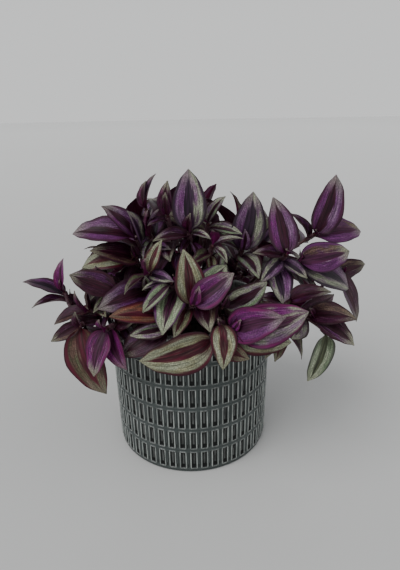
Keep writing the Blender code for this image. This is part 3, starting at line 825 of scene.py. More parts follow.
class Shape:
    """A mesh in the making: points in millimetres, faces with a material number, and values at each point."""

    def __init__(self):
        self.points = []
        self.faces = []
        self.materials = []
        self.values = {}
        self.count = 0

    def add(self, points, faces, materials, **values):
        """Adds points and their faces. Each value is one vector for all the points, or one for each."""
        number = len(points)
        self.points.append(np.asarray(points, float))
        self.faces += [tuple(i + self.count for i in face) for face in faces]
        self.materials += materials
        for name, value in values.items():
            self.values.setdefault(name, []).append(np.broadcast_to(np.asarray(value, float), (number, 3)))
        self.count += number

    def to_object(self, name, materials):
        mesh = bpy.data.meshes.new(name)
        mesh.from_pydata((np.vstack(self.points) * MM).tolist(), [], self.faces)
        for material in materials:
            mesh.materials.append(material)
        mesh.polygons.foreach_set("material_index", self.materials)
        mesh.polygons.foreach_set("use_smooth", [True] * len(self.faces))
        for key, chunks in self.values.items():
            layer = mesh.attributes.new(key, "FLOAT_VECTOR", "POINT")
            layer.data.foreach_set("vector", np.vstack(chunks).ravel())
        mesh.set_sharp_from_angle(angle=math.radians(SHARP_ANGLE))
        return linked_object(name, mesh)


def linked_object(name, data):
    obj = bpy.data.objects.new(name, data)
    bpy.context.scene.collection.objects.link(obj)
    return obj


def blade_topology():
    """The faces of a fine blade with its upper and under side joined at the rim, and which grid points the
    under side has of its own.

    Points come as the upper grid row by row, the tip, then the under side's own points.
    """
    rows, columns = len(FINE_STATIONS), len(FINE_SIDES)
    upper = np.arange(rows * columns).reshape(rows, columns)
    tip = rows * columns
    own = np.zeros((rows, columns), bool)
    own[1:, 1:-1] = True
    under = upper.copy()
    under[own] = tip + 1 + np.arange(own.sum())
    faces, materials = [], []
    for grid, material, way in ((upper, UPPER_SIDE, 1), (under, UNDER_SIDE, -1)):
        for i in range(rows - 1):
            for j in range(columns - 1):
                faces.append((grid[i, j], grid[i, j + 1], grid[i + 1, j + 1], grid[i + 1, j])[::way])
        for j in range(columns - 1):
            faces.append((grid[-1, j], grid[-1, j + 1], tip)[::way])
        materials += [material] * (len(faces) - len(materials))
    return [tuple(int(i) for i in face) for face in faces], materials, own


def fine_surface(leaf, chance):
    """The middle surface of a fine blade: the coarse one with a rounded keel, full halves and a waved rim."""
    stations, sides = (*FINE_STATIONS, 1), FINE_SIDES
    grid = blade_points(leaf, stations, sides)
    u = np.maximum(np.asarray(stations, float), 0)[:, None]
    s = np.asarray(sides, float)[None, :]
    midrib = grid[:, [len(sides) // 2]]
    near_tip = np.exp(-(((u - FULLNESS_PLACE) / FULLNESS_SPAN) ** 2))
    fullness = 1 + TIP_FULLNESS * chance.uniform(0.1, 1) * near_tip
    grid = midrib + (grid - midrib) * fullness[..., None]
    _, normal = leaf.axes
    half = leaf.half_width * half_width_share(u)
    keel = half * math.sin(math.radians(leaf.fold)) * (np.sqrt(s * s + KEEL_ROUNDING**2) - np.abs(s))
    quilt = QUILTING * chance.uniform(0.2, 1.6) * half * np.sin(math.pi * np.abs(s)) * 4 * u * (1 - u)
    phase = np.where(s > 0, chance.uniform(0, FULL_TURN), chance.uniform(0, FULL_TURN))
    waves = chance.uniform(*RIPPLE_WAVES)
    size = MARGIN_RIPPLE * chance.uniform(0.3, 1.0) * leaf.length / RIPPLE_LENGTH
    ripple = size * np.abs(s) ** 3 * np.sin(2 * math.pi * waves * u + phase) * np.sin(math.pi * u) ** 0.5
    cup = BASE_CUPPING * half * s * s * np.exp(-u / CUP_SPAN)
    hook = -TIP_HOOK * leaf.length * np.maximum(0, u - HOOK_START) ** 2
    return grid + (keel + quilt + ripple + cup + hook)[..., None] * normal


def surface_normals(grid, fallback):
    """Unit normals at a grid's points."""
    across = np.gradient(grid, axis=1)
    ahead = np.gradient(grid, axis=0)
    normals = np.cross(across, ahead)
    size = np.linalg.norm(normals, axis=2, keepdims=True)
    return np.where(size > 1e-9, normals / np.maximum(size, 1e-9), fallback)


def add_blade(shape, leaf, palette, topology, chance):
    """Adds one fine blade with its colours."""
    faces, materials, own = topology
    grid = fine_surface(leaf, chance)
    normals = surface_normals(grid, unit(leaf.normal))[:-1]
    tip = grid[-1, 0]
    grid = grid[:-1]
    s = np.asarray(FINE_SIDES, float)[None, :, None]
    u = np.asarray(FINE_STATIONS, float)[:, None, None]
    thick = BLADE_THICKNESS / 2 * np.sqrt(1 - s * s) * (1 - 0.5 * np.maximum(u, 0)) * (u >= 0)
    upper = grid + normals * thick
    under = grid - normals * thick
    seed = chance.uniform(0, 40)
    place = np.stack(np.broadcast_arrays(np.maximum(u, 0), s, seed), axis=-1)[:, :, 0]
    points = np.vstack([upper.reshape(-1, 3), tip, under[own]])
    places = np.vstack([place.reshape(-1, 3), (1, 0, seed), place[own]])
    tone = chance.uniform(*TONE)
    colours = dict(zip(COLOUR_NAMES, (*palette, DEEP_PINK)))
    for name in COLOUR_NAMES[:VARYING]:
        colours[name] = tone * np.array(colours[name])
    shape.add(points, faces, materials, blade=places, **colours)


def bare(value):
    """The values that a stem, a sheath or a hair holds in place of a blade's colours."""
    return {"blade": value, **dict.fromkeys(COLOUR_NAMES, (0, 0, 0))}


def smoothed(path, rounds=3):
    """The path with its corners cut, both ends kept."""
    points = np.asarray(path, float)
    for _ in range(rounds):
        low, high = points[:-1], points[1:]
        cut = np.stack([0.75 * low + 0.25 * high, 0.25 * low + 0.75 * high], axis=1).reshape(-1, 3)
        points = np.vstack([points[0], cut[1:-1], points[-1]])
    return points


def ring_frames(path):
    """Two unit vectors square to a path at each of its points, which turn as little as they can along it."""
    ahead = np.gradient(path, axis=0)
    ahead /= np.linalg.norm(ahead, axis=1, keepdims=True)
    side, _ = square_to(ahead[0])
    sides = []
    for direct in ahead:
        side = unit(side - direct * (direct @ side))
        sides.append(side)
    return np.array(sides), np.cross(ahead, sides)


def round_places(along_values, seed, sides):
    """The value of every point of a row of rings: (its ring's value, its turn from -1 to 1, seed)."""
    turn = np.linspace(-1, 1, sides, endpoint=False)
    return np.stack(np.broadcast_arrays(along_values[:, None], turn[None, :], seed), axis=-1).reshape(-1, 3)


def add_stem(shape, shoot, seed):
    """Adds the stem: a closed, tapering tube. Its value is (mm along, turn, seed)."""
    path = smoothed(shoot.path)
    count = len(path)
    radii = FINE_STEM_RADIUS + (TIP_STEM_RADIUS - FINE_STEM_RADIUS) * np.linspace(0, 1, count) ** 2
    around = np.array([circle(side, up, STEM_SIDES) for side, up in zip(*ring_frames(path))])
    rings = path[:, None] + radii[:, None, None] * around
    run = np.concatenate([[0], np.cumsum(np.linalg.norm(np.diff(path, axis=0), axis=1))])
    values = round_places(run, seed, STEM_SIDES)
    values[:, 1] = np.abs(values[:, 1])
    faces = ring_quads(count, STEM_SIDES)
    faces += [ring_face(0, STEM_SIDES)[::-1], ring_face(count - 1, STEM_SIDES)]
    shape.add(rings.reshape(-1, 3), faces, [STEM_SKIN] * len(faces), **bare(values))


def add_sheath(shape, shoot, leaf, chance):
    """Adds the sleeve that a leaf wraps round its stem. Its value is (share of the way down, turn, seed)."""
    length = SHEATH_LENGTH * chance.uniform(0.85, 1.1)
    path = np.array([along(shoot.path, leaf.back + length * step)[0] for step in SHEATH_STEPS])
    _, ahead = along(shoot.path, leaf.back)
    side, up = square_to(ahead)
    radii = FINE_STEM_RADIUS + np.array(SHEATH_SWELL)
    rings = path[:, None] + radii[:, None, None] * circle(side, up, SHEATH_SIDES)
    values = round_places(1 - np.array(SHEATH_STEPS), chance.random(), SHEATH_SIDES)
    faces = ring_quads(len(path), SHEATH_SIDES)
    shape.add(rings.reshape(-1, 3), faces, [SHEATH] * len(faces), **bare(values))
    add_hairs(shape, path[SHEATH_RIM], ahead, side, up, chance)


def add_hairs(shape, rim, ahead, side, up, chance):
    """Adds the fringe of hairs on a sheath's rim."""
    for k in range(HAIRS_PER_SHEATH):
        a = 2 * math.pi * (k + chance.uniform(-0.3, 0.3)) / HAIRS_PER_SHEATH
        out = math.cos(a) * side + math.sin(a) * up
        root = rim + (FINE_STEM_RADIUS + HAIR_OFF_STEM) * out
        reach = unit(ahead + chance.uniform(0.2, 0.9) * out) * HAIR_LENGTH * chance.uniform(0.6, 1.2)
        add_hair(shape, root, reach, out)


def add_hair(shape, root, reach, out):
    """Adds one hair: a slim cone."""
    first = unit(np.cross(reach, out + (0.01, 0.02, 0.03)))
    second = unit(np.cross(reach, first))
    foot = root + HAIR_RADIUS * circle(first, second, 3)
    faces = [(0, 1, 3), (1, 2, 3), (2, 0, 3), (2, 1, 0)]
    shape.add([*foot, root + reach], faces, [HAIR] * len(faces), **bare((0, 0, 0)))


def make_shoot(shoot, materials, topology, number):
    """One leafy stem in place of its node."""
    chance = random.Random(SHOOT_SEED + number)
    shape = Shape()
    add_stem(shape, shoot, number)
    for leaf in shoot.leaves:
        add_blade(shape, leaf, palette_of(shoot, leaf, chance), topology, chance)
        add_sheath(shape, shoot, leaf, chance)
    stand_for(shape.to_object(shoot.name + "_shoot", materials), shoot.name)


def stand_for(obj, node):
    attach(obj, "root")
    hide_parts(node)


# ---------------- pot and soil


def pot_radius(z):
    return POT_FOOT_RADIUS + (POT_RIM_RADIUS - POT_FOOT_RADIUS) * z / POT_HEIGHT


def smooth_step(value, low, high):
    t = np.clip((value - low) / (high - low), 0, 1)
    return t * t * (3 - 2 * t)


def relief(x, y):
    """How far the wall lies below its outermost surface, at this place from the middle of a cell, and its
    height as a share: 1 on the frame, 0 in the panel."""
    right = np.abs(x) - (FRAME_WIDTH / 2 - FRAME_CORNER)
    above = np.abs(y) - (FRAME_HEIGHT / 2 - FRAME_CORNER)
    outside = np.hypot(np.maximum(right, 0), np.maximum(above, 0))
    inward = FRAME_CORNER - outside - np.minimum(np.maximum(right, above), 0)
    rise, top, fall = RIDGE_STEPS
    depth = CHANNEL_DEPTH * (1 - smooth_step(inward, 0, rise)) + PANEL_DEPTH * smooth_step(inward, top, fall)
    return depth, 1 - depth / PANEL_DEPTH


def cell_lines(half_lines, pitch):
    """The places of a cell's grid lines from its low edge, mirrored about its middle."""
    half = list(half_lines)
    return half + [pitch / 2] + [pitch - line for line in reversed(half[1:])]


def foot_profile():
    """The pot's foot as (radius, z)."""
    return [(POT_FOOT_RADIUS - 2.2, 0), (POT_FOOT_RADIUS - 1.1, 0.3), (POT_FOOT_RADIUS - 0.5, 1.2)]


def rim_profile(last):
    """The pot's rim and inside as (radius, z), from where the relief ends down to its floor."""
    return [
        (pot_radius(last) - CHANNEL_DEPTH, last),
        (pot_radius(last) - 0.25, last + 0.35),
        (POT_RIM_RADIUS - 0.1, last + 1.2),
        (POT_RIM_RADIUS - 0.35, POT_HEIGHT - 0.8),
        (POT_RIM_RADIUS - 1.2, POT_HEIGHT - 0.15),
        (POT_RIM_RADIUS - 2.4, POT_HEIGHT),
        (POT_INNER_RADIUS + 1.3, POT_HEIGHT - 0.15),
        (POT_INNER_RADIUS + 0.3, POT_HEIGHT - 0.9),
        (POT_INNER_RADIUS, POT_HEIGHT - 2.2),
        (POT_INNER_RADIUS, POT_HEIGHT - 7.0),
        (POT_INNER_RADIUS, POT_FLOOR),
    ]


def pot_rings(x, y, z):
    """The pot's rings from foot over rim to floor, each as (radii, z, glaze levels, place up the cell)."""
    plain = np.ones(len(x))
    depth, height = relief(x[None, :], y[:, None])
    wall = zip(pot_radius(z)[:, None] - depth, z, height, 2 * y / RELIEF_ROW_PITCH)
    rings = [(r * plain, h, FOOT_LEVEL * plain, 0.0) for r, h in foot_profile()]
    rings += wall
    rim = rim_profile(RELIEF_START + RELIEF_ROWS * RELIEF_ROW_PITCH)
    levels = [GROOVE_LEVEL] + [RIM_LEVEL] * (len(rim) - 1)
    return rings + [(r * plain, h, level * plain, 0.0) for (r, h), level in zip(rim, levels)]


def make_pot(materials):
    """The glazed pot with its net of raised frames, in place of the plain one.

    Its glaze value is (level, place across the cell, place up it), the places from -1 to 1.
    """
    pitch = 2 * math.pi * pot_radius(POT_HEIGHT / 2) / RELIEF_COLUMNS
    across = cell_lines(COLUMN_LINES, pitch)
    x = np.array([line - pitch / 2 for _ in range(RELIEF_COLUMNS) for line in across])
    turns = np.array([(k + line / pitch) for k in range(RELIEF_COLUMNS) for line in across])
    turns = math.radians(FRONT_COLUMN_DEG) + (turns - 0.5) * 2 * math.pi / RELIEF_COLUMNS
    up = cell_lines(ROW_LINES, RELIEF_ROW_PITCH)
    z = np.array([RELIEF_START + k * RELIEF_ROW_PITCH + line for k in range(RELIEF_ROWS) for line in up])
    y = np.array([line - RELIEF_ROW_PITCH / 2 for _ in range(RELIEF_ROWS) for line in up])
    points, values = [], []
    columns = len(turns)
    for ring, level, glaze, cell_up in pot_rings(x, y, z):
        points.append(np.stack([ring * np.cos(turns), ring * np.sin(turns), np.full(columns, level)], axis=1))
        values.append(np.stack([glaze, 2 * x / pitch, np.full(columns, cell_up)], axis=1))
    faces = ring_quads(len(points), columns)
    faces += [ring_face(0, columns)[::-1], ring_face(len(points) - 1, columns)]
    shape = Shape()
    shape.add(np.vstack(points), faces, [0] * len(faces), glaze=np.vstack(values))
    stand_for(shape.to_object("glazed_pot", materials), "pot")


def soil_place(ring, spoke):
    """The place of a point of the soil's surface: each ring is turned by half a step against the next."""
    r = (POT_INNER_RADIUS - FIT_GAP) * ring / SOIL_RINGS
    a = 2 * math.pi * (spoke + 0.5 * (ring % 2)) / SOIL_SPOKES
    return r * math.cos(a), r * math.sin(a)


def make_soil(materials):
    """Crumbly soil in place of the plain disc."""
    points = [(0, 0, SOIL_TOP)]
    for i in range(1, SOIL_RINGS + 1):
        swell = LUMP_HEIGHT * min(1, (SOIL_RINGS - i) / 2)
        for k in range(SOIL_SPOKES):
            x, y = soil_place(i, k)
            lump = noise.fractal(Vector((x / LUMP_SPACING, y / LUMP_SPACING, 0)), *LUMP_FRACTAL)
            points.append((x, y, SOIL_TOP - SOIL_SAG + swell * lump))
    points += [(*soil_place(SOIL_RINGS, k), POT_FLOOR + FIT_GAP) for k in range(SOIL_SPOKES)]
    faces = [(0, 1 + k, 1 + (k + 1) % SOIL_SPOKES) for k in range(SOIL_SPOKES)]
    faces += [(a, d, c, b) for a, b, c, d in ring_quads(SOIL_RINGS + 1, SOIL_SPOKES, 1)]
    faces.append(ring_face(SOIL_RINGS, SOIL_SPOKES, 1)[::-1])
    shape = Shape()
    shape.add(points, faces, [PEAT] * len(faces))
    chance = random.Random(SOIL_SEED)
    for _ in range(SOIL_CRUMBS):
        add_crumb(shape, chance)
    stand_for(shape.to_object("crumbly_soil", materials), "soil")


def add_crumb(shape, chance):
    """Adds one lump of bark or peat that lies half sunk in the soil, or now and then a grain of perlite."""
    r = (POT_INNER_RADIUS - CRUMB_OFF_WALL) * math.sqrt(chance.random())
    a = chance.uniform(0, 2 * math.pi)
    pale = chance.random() < PERLITE_SHARE
    size = np.array([chance.uniform(*CRUMB_SIZE) for _ in range(3)]) * (PERLITE_SIZE if pale else 1)
    size[2] = min(size[2], CRUMB_HEIGHT)
    spin = Matrix.Rotation(chance.uniform(0, FULL_TURN), 3, "Z")
    centre = np.array([r * math.cos(a), r * math.sin(a), SOIL_TOP - CRUMB_SUNK])
    corners = []
    for corner in CRUMB_CORNERS:
        corners.append(centre + np.array(spin @ Vector(size * corner * chance.uniform(*CRUMB_WOBBLE))))
    shape.add(corners, CRUMB_FACES, [PERLITE if pale else PEAT] * len(CRUMB_FACES))


# ---------------- materials

# Blades: the grey streaks, partly the leaf's own silver and partly painted sheen, the pale point and the dark
# rim, the fineness of the streaks along and across with their detail, the veins from midrib to rim, and the
# grain's spots per metre
STREAK_SILVER_AND_SHEEN = (0.26, 0.26, 0.235)
PALE_TIP = (0.29, 0.30, 0.21)
RIM_LINE = (0.022, 0.007, 0.012)
BROAD_STREAKS = (2.6, 5.0, 2.0)
FINE_STREAKS = (4.0, 17.0, 3.0)
CLOUDS = (3.2, 2.6, 3.0)
CLOUD_SHIFT = 7.3
VEINS = 20.0
BLADE_GRAIN = 1300.0
BLADE_GLOSS = 0.25

# Half widths of the stripe and place of the margin, as shares of the half blade, and how they change at the
# tip and at the base
CORE_WIDTH, CORE_AT_TIP, CORE_AT_BASE = 0.31, -0.31, 0.14
EDGE_PLACE, EDGE_AT_TIP = 0.78, 0.10

# Stems, sheaths and hairs: two colours each
STEM_COLOURS = ((0.075, 0.016, 0.030), (0.11, 0.050, 0.045))
SHEATH_COLOURS = ((0.055, 0.010, 0.026), (0.15, 0.075, 0.095))
SHEATH_LINES = 25.0
HAIR_COLOURS = ((0.24, 0.17, 0.18), (0.42, 0.36, 0.36))
HAIR_SPOTS = 400.0

# Glaze: thick in the channels, darker beside the frames, thin on the ridges, streaked in the panels and black
# at their foot, the dark and the black partly pooled glaze and partly painted shade; and the spots of noise
# per metre in it
CHANNEL_COLOURS = ((0.046, 0.056, 0.055), (0.088, 0.104, 0.101))
PANEL_COLOURS = ((0.008, 0.009, 0.009), (0.105, 0.112, 0.108))
RIDGE_COLOURS = ((0.17, 0.19, 0.18), (0.40, 0.43, 0.41))
POOL_AND_SHADE_BLACK = (0.005, 0.006, 0.006)
LEDGE_POOL_AND_SHADE_BLACK = (0.006, 0.007, 0.007)
GLAZE_CLOUDS = 28.0
GLAZE_DRIPS = (900.0, 900.0, 90.0)
GLAZE_SPECKS = 900.0
GLAZE_GLOSS = 0.15

# Soil and perlite: spots of noise per metre, and colours
PEAT_CRUMBS = 420.0
PEAT_BLOTCHES = 90.0
PERLITE_PITS = 1200.0
PEAT_COLOURS = ((0.010, 0.006, 0.004), (0.055, 0.034, 0.022))
PEAT_DUST = (0.028, 0.022, 0.018)
PERLITE_COLOURS = ((0.30, 0.28, 0.25), (0.60, 0.58, 0.54))


class Nodes:
    """A short way to write the nodes of a material or of the world."""

    def __init__(self, owner, shader="Principled BSDF"):
        owner.use_nodes = True
        self.owner = owner
        self.tree = owner.node_tree
        self.shader = self.tree.nodes[shader]

    def feed(self, socket, value):
        if isinstance(value, bpy.types.NodeSocket):
            self.tree.links.new(value, socket)
        elif socket.type == "RGBA":
            socket.default_value = (*value, 1)
        else:
            socket.default_value = value

    def set(self, **inputs):
        """Sets the shader's inputs; an underscore in a name stands for a space."""
        for name, value in inputs.items():
            self.feed(self.shader.inputs[name.replace("_", " ")], value)

    def add(self, kind, inputs=(), **settings):
        """Adds a node with these settings, and feeds its inputs, given as pairs of name and value."""
        node = self.tree.nodes.new("ShaderNode" + kind)
        for name, value in settings.items():
            setattr(node, name, value)
        for name, value in inputs:
            self.feed(node.inputs[name], value)
        return node

    def attribute(self, name):
        return self.add("Attribute", attribute_name=name).outputs["Vector"]

    def colour(self, name):
        return self.add("Attribute", attribute_name=name).outputs["Color"]

    def place(self, kind="Object"):
        return self.add("TexCoord").outputs[kind]

    def split(self, vector):
        return self.add("SeparateXYZ", [(0, vector)]).outputs

    def vector(self, *values):
        return self.add("CombineXYZ", enumerate(values)).outputs[0]

    def math(self, operation, *values):
        return self.add("Math", enumerate(values), operation=operation).outputs[0]

    def times(self, first, second):
        return self.math("MULTIPLY", first, second)

    def plus(self, first, second):
        return self.math("ADD", first, second)

    def line(self, value, slope, start):
        """The value times a slope, on top of a start."""
        return self.math("MULTIPLY_ADD", value, slope, start)

    def size(self, value):
        return self.math("ABSOLUTE", value)

    def step(self, value, low, high, start=0.0, end=1.0):
        """Runs smoothly from start to end as the value goes from low to high."""
        names = ("Value", "From Min", "From Max", "To Min", "To Max")
        inputs = zip(names, (value, low, high, start, end))
        return self.add("MapRange", inputs, interpolation_type="SMOOTHSTEP").outputs[0]

    def noise(self, vector, scale=1.0, detail=2.0, rough=0.5):
        inputs = (("Vector", vector), ("Scale", scale), ("Detail", detail), ("Roughness", rough))
        return self.add("TexNoise", inputs).outputs["Fac"]

    def mix(self, share, first, second):
        inputs = (("Factor", share), (6, first), (7, second))
        return self.add("Mix", inputs, data_type="RGBA").outputs[2]

    def dim(self, colour, amount):
        """The colour times an amount."""
        return self.add("VectorMath", ((0, colour), ("Scale", amount)), operation="SCALE").outputs[0]

    def ripples(self, value, count):
        """Ridges across a value, as many as this in each pi of it."""
        return self.size(self.math("SINE", self.times(value, count)))

    def bump(self, height, distance, strength=1.0):
        """Roughens the surface, by a distance in millimetres."""
        inputs = (("Height", height), ("Distance", distance * MM), ("Strength", strength))
        self.feed(self.shader.inputs["Normal"], self.add("Bump", inputs).outputs[0])


def surface(name):
    """The nodes of a new material."""
    return Nodes(bpy.data.materials.new(name))


def streak(nodes, u, s, seed, fineness):
    """Noise drawn out along a blade: so many spots along it and across it, and its detail."""
    along_blade, across, detail = fineness
    place = nodes.vector(nodes.line(u, along_blade, seed), nodes.times(s, across), seed)
    return nodes.noise(place, detail=detail)


def blade_streaks(nodes):
    """Where a point lies along and across its blade, the blade's seed, and broad and fine streaks there."""
    u, s, seed = nodes.split(nodes.attribute("blade"))
    return u, s, seed, streak(nodes, u, s, seed, BROAD_STREAKS), streak(nodes, u, s, seed, FINE_STREAKS)


def blade_band(nodes, u, s, seed, fine, base):
    """The colour of the bands: clouded, streaked with grey that is partly painted sheen, pale at the point
    and dark at the base.
    """
    cloud = streak(nodes, u, s, nodes.plus(seed, CLOUD_SHIFT), CLOUDS)
    band = nodes.mix(nodes.step(s, -0.1, 0.1), nodes.colour("band_left"), nodes.colour("band_right"))
    band = nodes.mix(nodes.step(cloud, 0.42, 0.62, 0.0, 0.85), band, nodes.colour("flush"))
    # Painted sheen in part: pale grey streaks on the bands, which are also the leaf's own silver.
    silver_and_sheen = nodes.times(nodes.step(fine, 0.54, 0.78), nodes.step(u, 0.1, 0.4, 0.1, 0.7))
    paleness = nodes.step(nodes.noise(nodes.vector(seed, 0.0, 0.0)), 0.35, 0.65, 0.15, 0.8)
    band = nodes.mix(nodes.times(silver_and_sheen, paleness), band, STREAK_SILVER_AND_SHEEN)
    band = nodes.mix(nodes.times(nodes.step(u, 0.6, 0.95), paleness), band, PALE_TIP)
    band = nodes.mix(nodes.times(base, 0.6), band, nodes.colour("core"))
    return nodes.dim(band, nodes.step(fine, 0.3, 0.72, 0.5, 1.45))


def blade_zones(nodes, u, s, broad, fine, base):
    """How far a point lies in the middle stripe, and how far in the margin; both have ragged edges."""
    tip = nodes.step(u, 0.62, 0.98)
    ragged = nodes.plus(nodes.line(broad, 0.34, -0.17), nodes.line(fine, 0.26, -0.13))
    off_centre = nodes.plus(nodes.size(s), ragged)
    core_width = nodes.line(tip, CORE_AT_TIP, nodes.line(base, CORE_AT_BASE, CORE_WIDTH))
    in_core = nodes.step(nodes.math("SUBTRACT", off_centre, core_width), -0.07, 0.08, 1.0, 0.0)
    edge_place = nodes.line(tip, EDGE_AT_TIP, EDGE_PLACE)
    return in_core, nodes.step(nodes.math("SUBTRACT", off_centre, edge_place), -0.08, 0.09)


def blade_upper_material():
    """Two clouded, shining bands between a dark stripe and a dark margin, all streaked along the blade,
    partly as painted sheen.
    """
    nodes = surface("striped_blade")
    u, s, seed, broad, fine = blade_streaks(nodes)
    grain = nodes.noise(nodes.place(), scale=BLADE_GRAIN, detail=1.0)
    base = nodes.step(u, 0.0, 0.3, 1.0, 0.0)
    in_core, in_edge = blade_zones(nodes, u, s, broad, fine, base)
    band = blade_band(nodes, u, s, seed, fine, base)
    band = nodes.dim(band, nodes.step(grain, 0.4, 0.66, 0.72, 1.3))
    core = nodes.mix(nodes.step(fine, 0.45, 0.8, 0.0, 0.3), nodes.colour("core"), nodes.colour("flush"))
    core = nodes.dim(core, nodes.step(broad, 0.3, 0.7, 0.5, 1.4))
    edge = nodes.dim(nodes.colour("edge"), nodes.step(broad, 0.3, 0.7, 0.55, 1.3))
    colour = nodes.mix(in_edge, nodes.mix(in_core, band, core), edge)
    rim = nodes.step(nodes.size(s), 0.90, 0.97)
    colour = nodes.mix(nodes.times(rim, 0.75), colour, RIM_LINE)
    # Painted shade: darker along the midrib's crease.
    colour = nodes.dim(colour, nodes.step(nodes.size(s), 0.0, 0.05, 0.45, 1.0))
    roughness = nodes.step(fine, 0.3, 0.7, 0.34, 0.5)
    nodes.set(Base_Color=colour, Roughness=roughness, Specular_IOR_Level=BLADE_GLOSS)
    height = nodes.plus(nodes.times(nodes.ripples(s, VEINS), 0.6), nodes.plus(grain, fine))
    nodes.bump(height, 0.18, 0.7)
    return nodes.owner


def blade_under_material():
    """The magenta underside, with the bands showing through as a ghost."""
    nodes = surface("blade_underside")
    _, s, _, broad, fine = blade_streaks(nodes)
    spread = nodes.plus(nodes.size(s), nodes.line(broad, 0.3, -0.15))
    ghost = nodes.times(nodes.step(spread, 0.25, 0.45), nodes.step(spread, 0.72, 0.9, 1.0, 0.0))
    colour = nodes.dim(nodes.colour("under"), nodes.step(fine, 0.3, 0.7, 0.6, 1.4))
    colour = nodes.mix(nodes.times(ghost, 0.35), colour, nodes.colour("flush"))
    nodes.set(Base_Color=colour, Roughness=0.45, Specular_IOR_Level=BLADE_GLOSS)
    nodes.bump(nodes.ripples(s, VEINS), 0.15, 0.6)
    return nodes.owner


def stem_material():
    """Succulent stem: purple over brown, streaked along its length."""
    nodes = surface("stem_skin")
    run, turn, seed = nodes.split(nodes.attribute("blade"))
    streaks = nodes.noise(nodes.vector(nodes.times(run, 0.12), nodes.times(turn, 9.0), seed), detail=3.0)
    nodes.set(Base_Color=nodes.mix(nodes.step(streaks, 0.35, 0.65), *STEM_COLOURS), Roughness=0.35)
    nodes.bump(streaks, 0.2, 0.5)
    return nodes.owner


def sheath_material():
    """Papery leaf sheath with purple lines along it."""
    nodes = surface("leaf_sheath")
    run, turn, seed = nodes.split(nodes.attribute("blade"))
    lines = nodes.ripples(turn, SHEATH_LINES)
    blotch = nodes.noise(nodes.vector(run, nodes.times(turn, 2.0), seed), scale=2.0)
    colour = nodes.mix(nodes.step(lines, 0.1, 0.7), *SHEATH_COLOURS)
    nodes.set(Base_Color=nodes.dim(colour, nodes.line(blotch, 0.8, 0.6)), Roughness=0.5)
    nodes.bump(lines, 0.1, 0.6)
    return nodes.owner


def hair_material():
    nodes = surface("sheath_hairs")
    pale = nodes.noise(nodes.place(), scale=HAIR_SPOTS)
    nodes.set(Base_Color=nodes.mix(pale, *HAIR_COLOURS), Roughness=0.5)
    return nodes.owner


def glaze_channel(nodes, cloud, aside, above):
    """The thick glaze round the frames, darker at their sides, partly thicker glaze and partly painted shade.
    """
    # Painted shade, partly thicker glaze: darker in the channels beside the frames' sides.
    side_pool_and_shade = nodes.times(nodes.step(aside, 0.66, 0.80), nodes.math("SUBTRACT", 1.0, above))
    return nodes.dim(nodes.mix(cloud, *CHANNEL_COLOURS), nodes.line(side_pool_and_shade, -0.45, 1.0))


def glaze_panel(nodes, aside, drip, pool_and_shade):
    """The sunk panels: black, with a pale streak down the middle above the black at their foot, partly pooled
    glaze and partly painted shade.
    """
    streaks = nodes.times(nodes.step(aside, 0.08, 0.26, 1.0, 0.0), nodes.step(drip, 0.25, 0.6))
    return nodes.mix(nodes.times(pool_and_shade, 0.9), nodes.mix(streaks, *PANEL_COLOURS), POOL_AND_SHADE_BLACK)


def glaze_pool_shade_ledge(nodes, aside, aloft, pool_and_shade):
    """How far a point lies on the black ledge round the panel's foot, partly pooled glaze and partly painted
    shade.
    """
    low = nodes.times(pool_and_shade, nodes.step(aloft, 0.78, 0.84, 1.0, 0.0))
    return nodes.times(low, nodes.step(aside, 0.60, 0.68, 1.0, 0.0))


def glaze_material():
    """Grey-green glaze, thin and pale where it breaks over the frames, and dark at the panels' foot and
    beside the frames, partly pooled glaze and partly painted shade.
    """
    nodes = surface("broken_glaze")
    height, cell_x, cell_y = nodes.split(nodes.attribute("glaze"))
    aside, aloft = nodes.size(cell_x), nodes.size(cell_y)
    place = nodes.place()
    cloud = nodes.noise(place, scale=GLAZE_CLOUDS, detail=3.0)
    stretched = nodes.vector(*(nodes.times(*pair) for pair in zip(nodes.split(place), GLAZE_DRIPS)))
    drip = nodes.noise(stretched, detail=3.0)
    speck = nodes.noise(place, scale=GLAZE_SPECKS)
    level = nodes.plus(height, nodes.line(drip, 0.16, -0.08))
    above = nodes.step(aloft, 0.70, 0.80)
    # Painted shade, partly pooled glaze: black at the foot of each panel.
    pool_and_shade = nodes.step(cell_y, -0.50, -0.38, 1.0, 0.0)
    panel = glaze_panel(nodes, aside, drip, pool_and_shade)
    colour = nodes.mix(nodes.step(level, 0.06, 0.30), panel, glaze_channel(nodes, cloud, aside, above))
    # Painted shade, partly pooled glaze: black on the lower wall round each panel's foot.
    pool_shade_ledge = glaze_pool_shade_ledge(nodes, aside, aloft, pool_and_shade)
    colour = nodes.mix(nodes.times(pool_shade_ledge, 0.85), colour, LEDGE_POOL_AND_SHADE_BLACK)
    ridge = nodes.mix(nodes.step(drip, 0.3, 0.7), *RIDGE_COLOURS)
    ridge = nodes.dim(ridge, nodes.line(above, -0.5, 1.0))
    colour = nodes.mix(nodes.step(level, 0.55, 0.92), colour, ridge)
    nodes.set(
        Base_Color=nodes.dim(colour, nodes.line(speck, 0.4, 0.8)),
        Roughness=nodes.line(speck, 0.14, 0.10),
        Specular_IOR_Level=GLAZE_GLOSS,
        Coat_Weight=nodes.step(level, 0.2, 0.9, 0.0, 0.7),
        Coat_Roughness=0.08,
    )
    nodes.bump(nodes.plus(drip, nodes.times(cloud, 2.0)), 0.18, 0.5)
    return nodes.owner


def soil_material():
    nodes = surface("peat_soil")
    place = nodes.place()
    crumb = nodes.noise(place, scale=PEAT_CRUMBS, detail=6.0, rough=0.7)
    dust = nodes.noise(place, scale=PEAT_BLOTCHES)
    colour = nodes.mix(nodes.step(crumb, 0.35, 0.7), *PEAT_COLOURS)
    nodes.set(Base_Color=nodes.mix(nodes.step(dust, 0.4, 0.7, 0.0, 0.5), colour, PEAT_DUST), Roughness=0.95)
    nodes.bump(crumb, 1.2)
    return nodes.owner


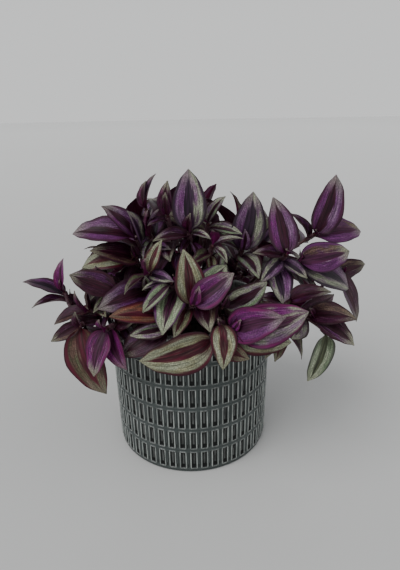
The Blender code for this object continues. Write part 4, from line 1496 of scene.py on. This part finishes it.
def perlite_material():
    nodes = surface("perlite")
    pits = nodes.noise(nodes.place(), scale=PERLITE_PITS, detail=3.0)
    nodes.set(Base_Color=nodes.mix(pits, *PERLITE_COLOURS), Roughness=0.9)
    nodes.bump(pits, 0.4)
    return nodes.owner


# ---------------- stage


def floor_material():
    nodes = surface("pale_floor")
    nodes.set(Base_Color=FLOOR_COLOUR, Roughness=0.16, Specular_IOR_Level=0.45)
    return nodes.owner


def make_surround():
    """Pale walls all round under a dimmer ceiling."""
    nodes = Nodes(bpy.data.worlds.new("surround"), "Background")
    _, _, height = nodes.split(nodes.place("Generated"))
    nodes.set(Color=nodes.mix(nodes.step(height, 0.15, 0.65), WALL_COLOUR, CEILING_COLOUR), Strength=1.0)
    bpy.context.scene.world = nodes.owner


def make_stage():
    """A pale floor in a pale room, with a broad light from the front left and a weak one from the right."""
    bpy.ops.mesh.primitive_circle_add(vertices=96, radius=FLOOR_RADIUS, fill_type="NGON")
    floor = bpy.context.object
    floor.name = "floor"
    floor.data.materials.append(floor_material())
    make_surround()
    for name, (place, width, power) in LIGHTS.items():
        add_sun(name, place, width, power)


def add_sun(name, place, width, power):
    """Adds a soft light from the direction of a place, as wide as this many degrees in the sky."""
    data = bpy.data.lights.new(name, "SUN")
    data.energy = power
    data.angle = math.radians(width)
    light = linked_object(name, data)
    light.location = place
    light.rotation_euler = (-light.location).to_track_quat("-Z", "Y").to_euler()


def make_camera():
    """The camera, which looks down on the plant a little and along +Y."""
    data = bpy.data.cameras.new("camera")
    data.sensor_width = CAMERA_SENSOR
    data.lens = CAMERA_LENS
    camera = linked_object("camera", data)
    tilt = Matrix.Rotation(math.pi / 2 - CAMERA_TILT, 4, "X")
    roll = Matrix.Rotation(CAMERA_ROLL, 4, "Z")
    camera.matrix_world = Matrix.Translation(Vector(CAMERA_PLACE) * MM) @ tilt @ roll
    bpy.context.scene.camera = camera


def main():
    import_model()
    make_camera()
    make_stage()
    foliage = [
        blade_upper_material(),
        blade_under_material(),
        stem_material(),
        sheath_material(),
        hair_material(),
    ]
    topology = blade_topology()
    for number, shoot in enumerate(grow_plant()):
        make_shoot(shoot, foliage, topology, number)
    make_pot([glaze_material()])
    make_soil([soil_material(), perlite_material()])


main()
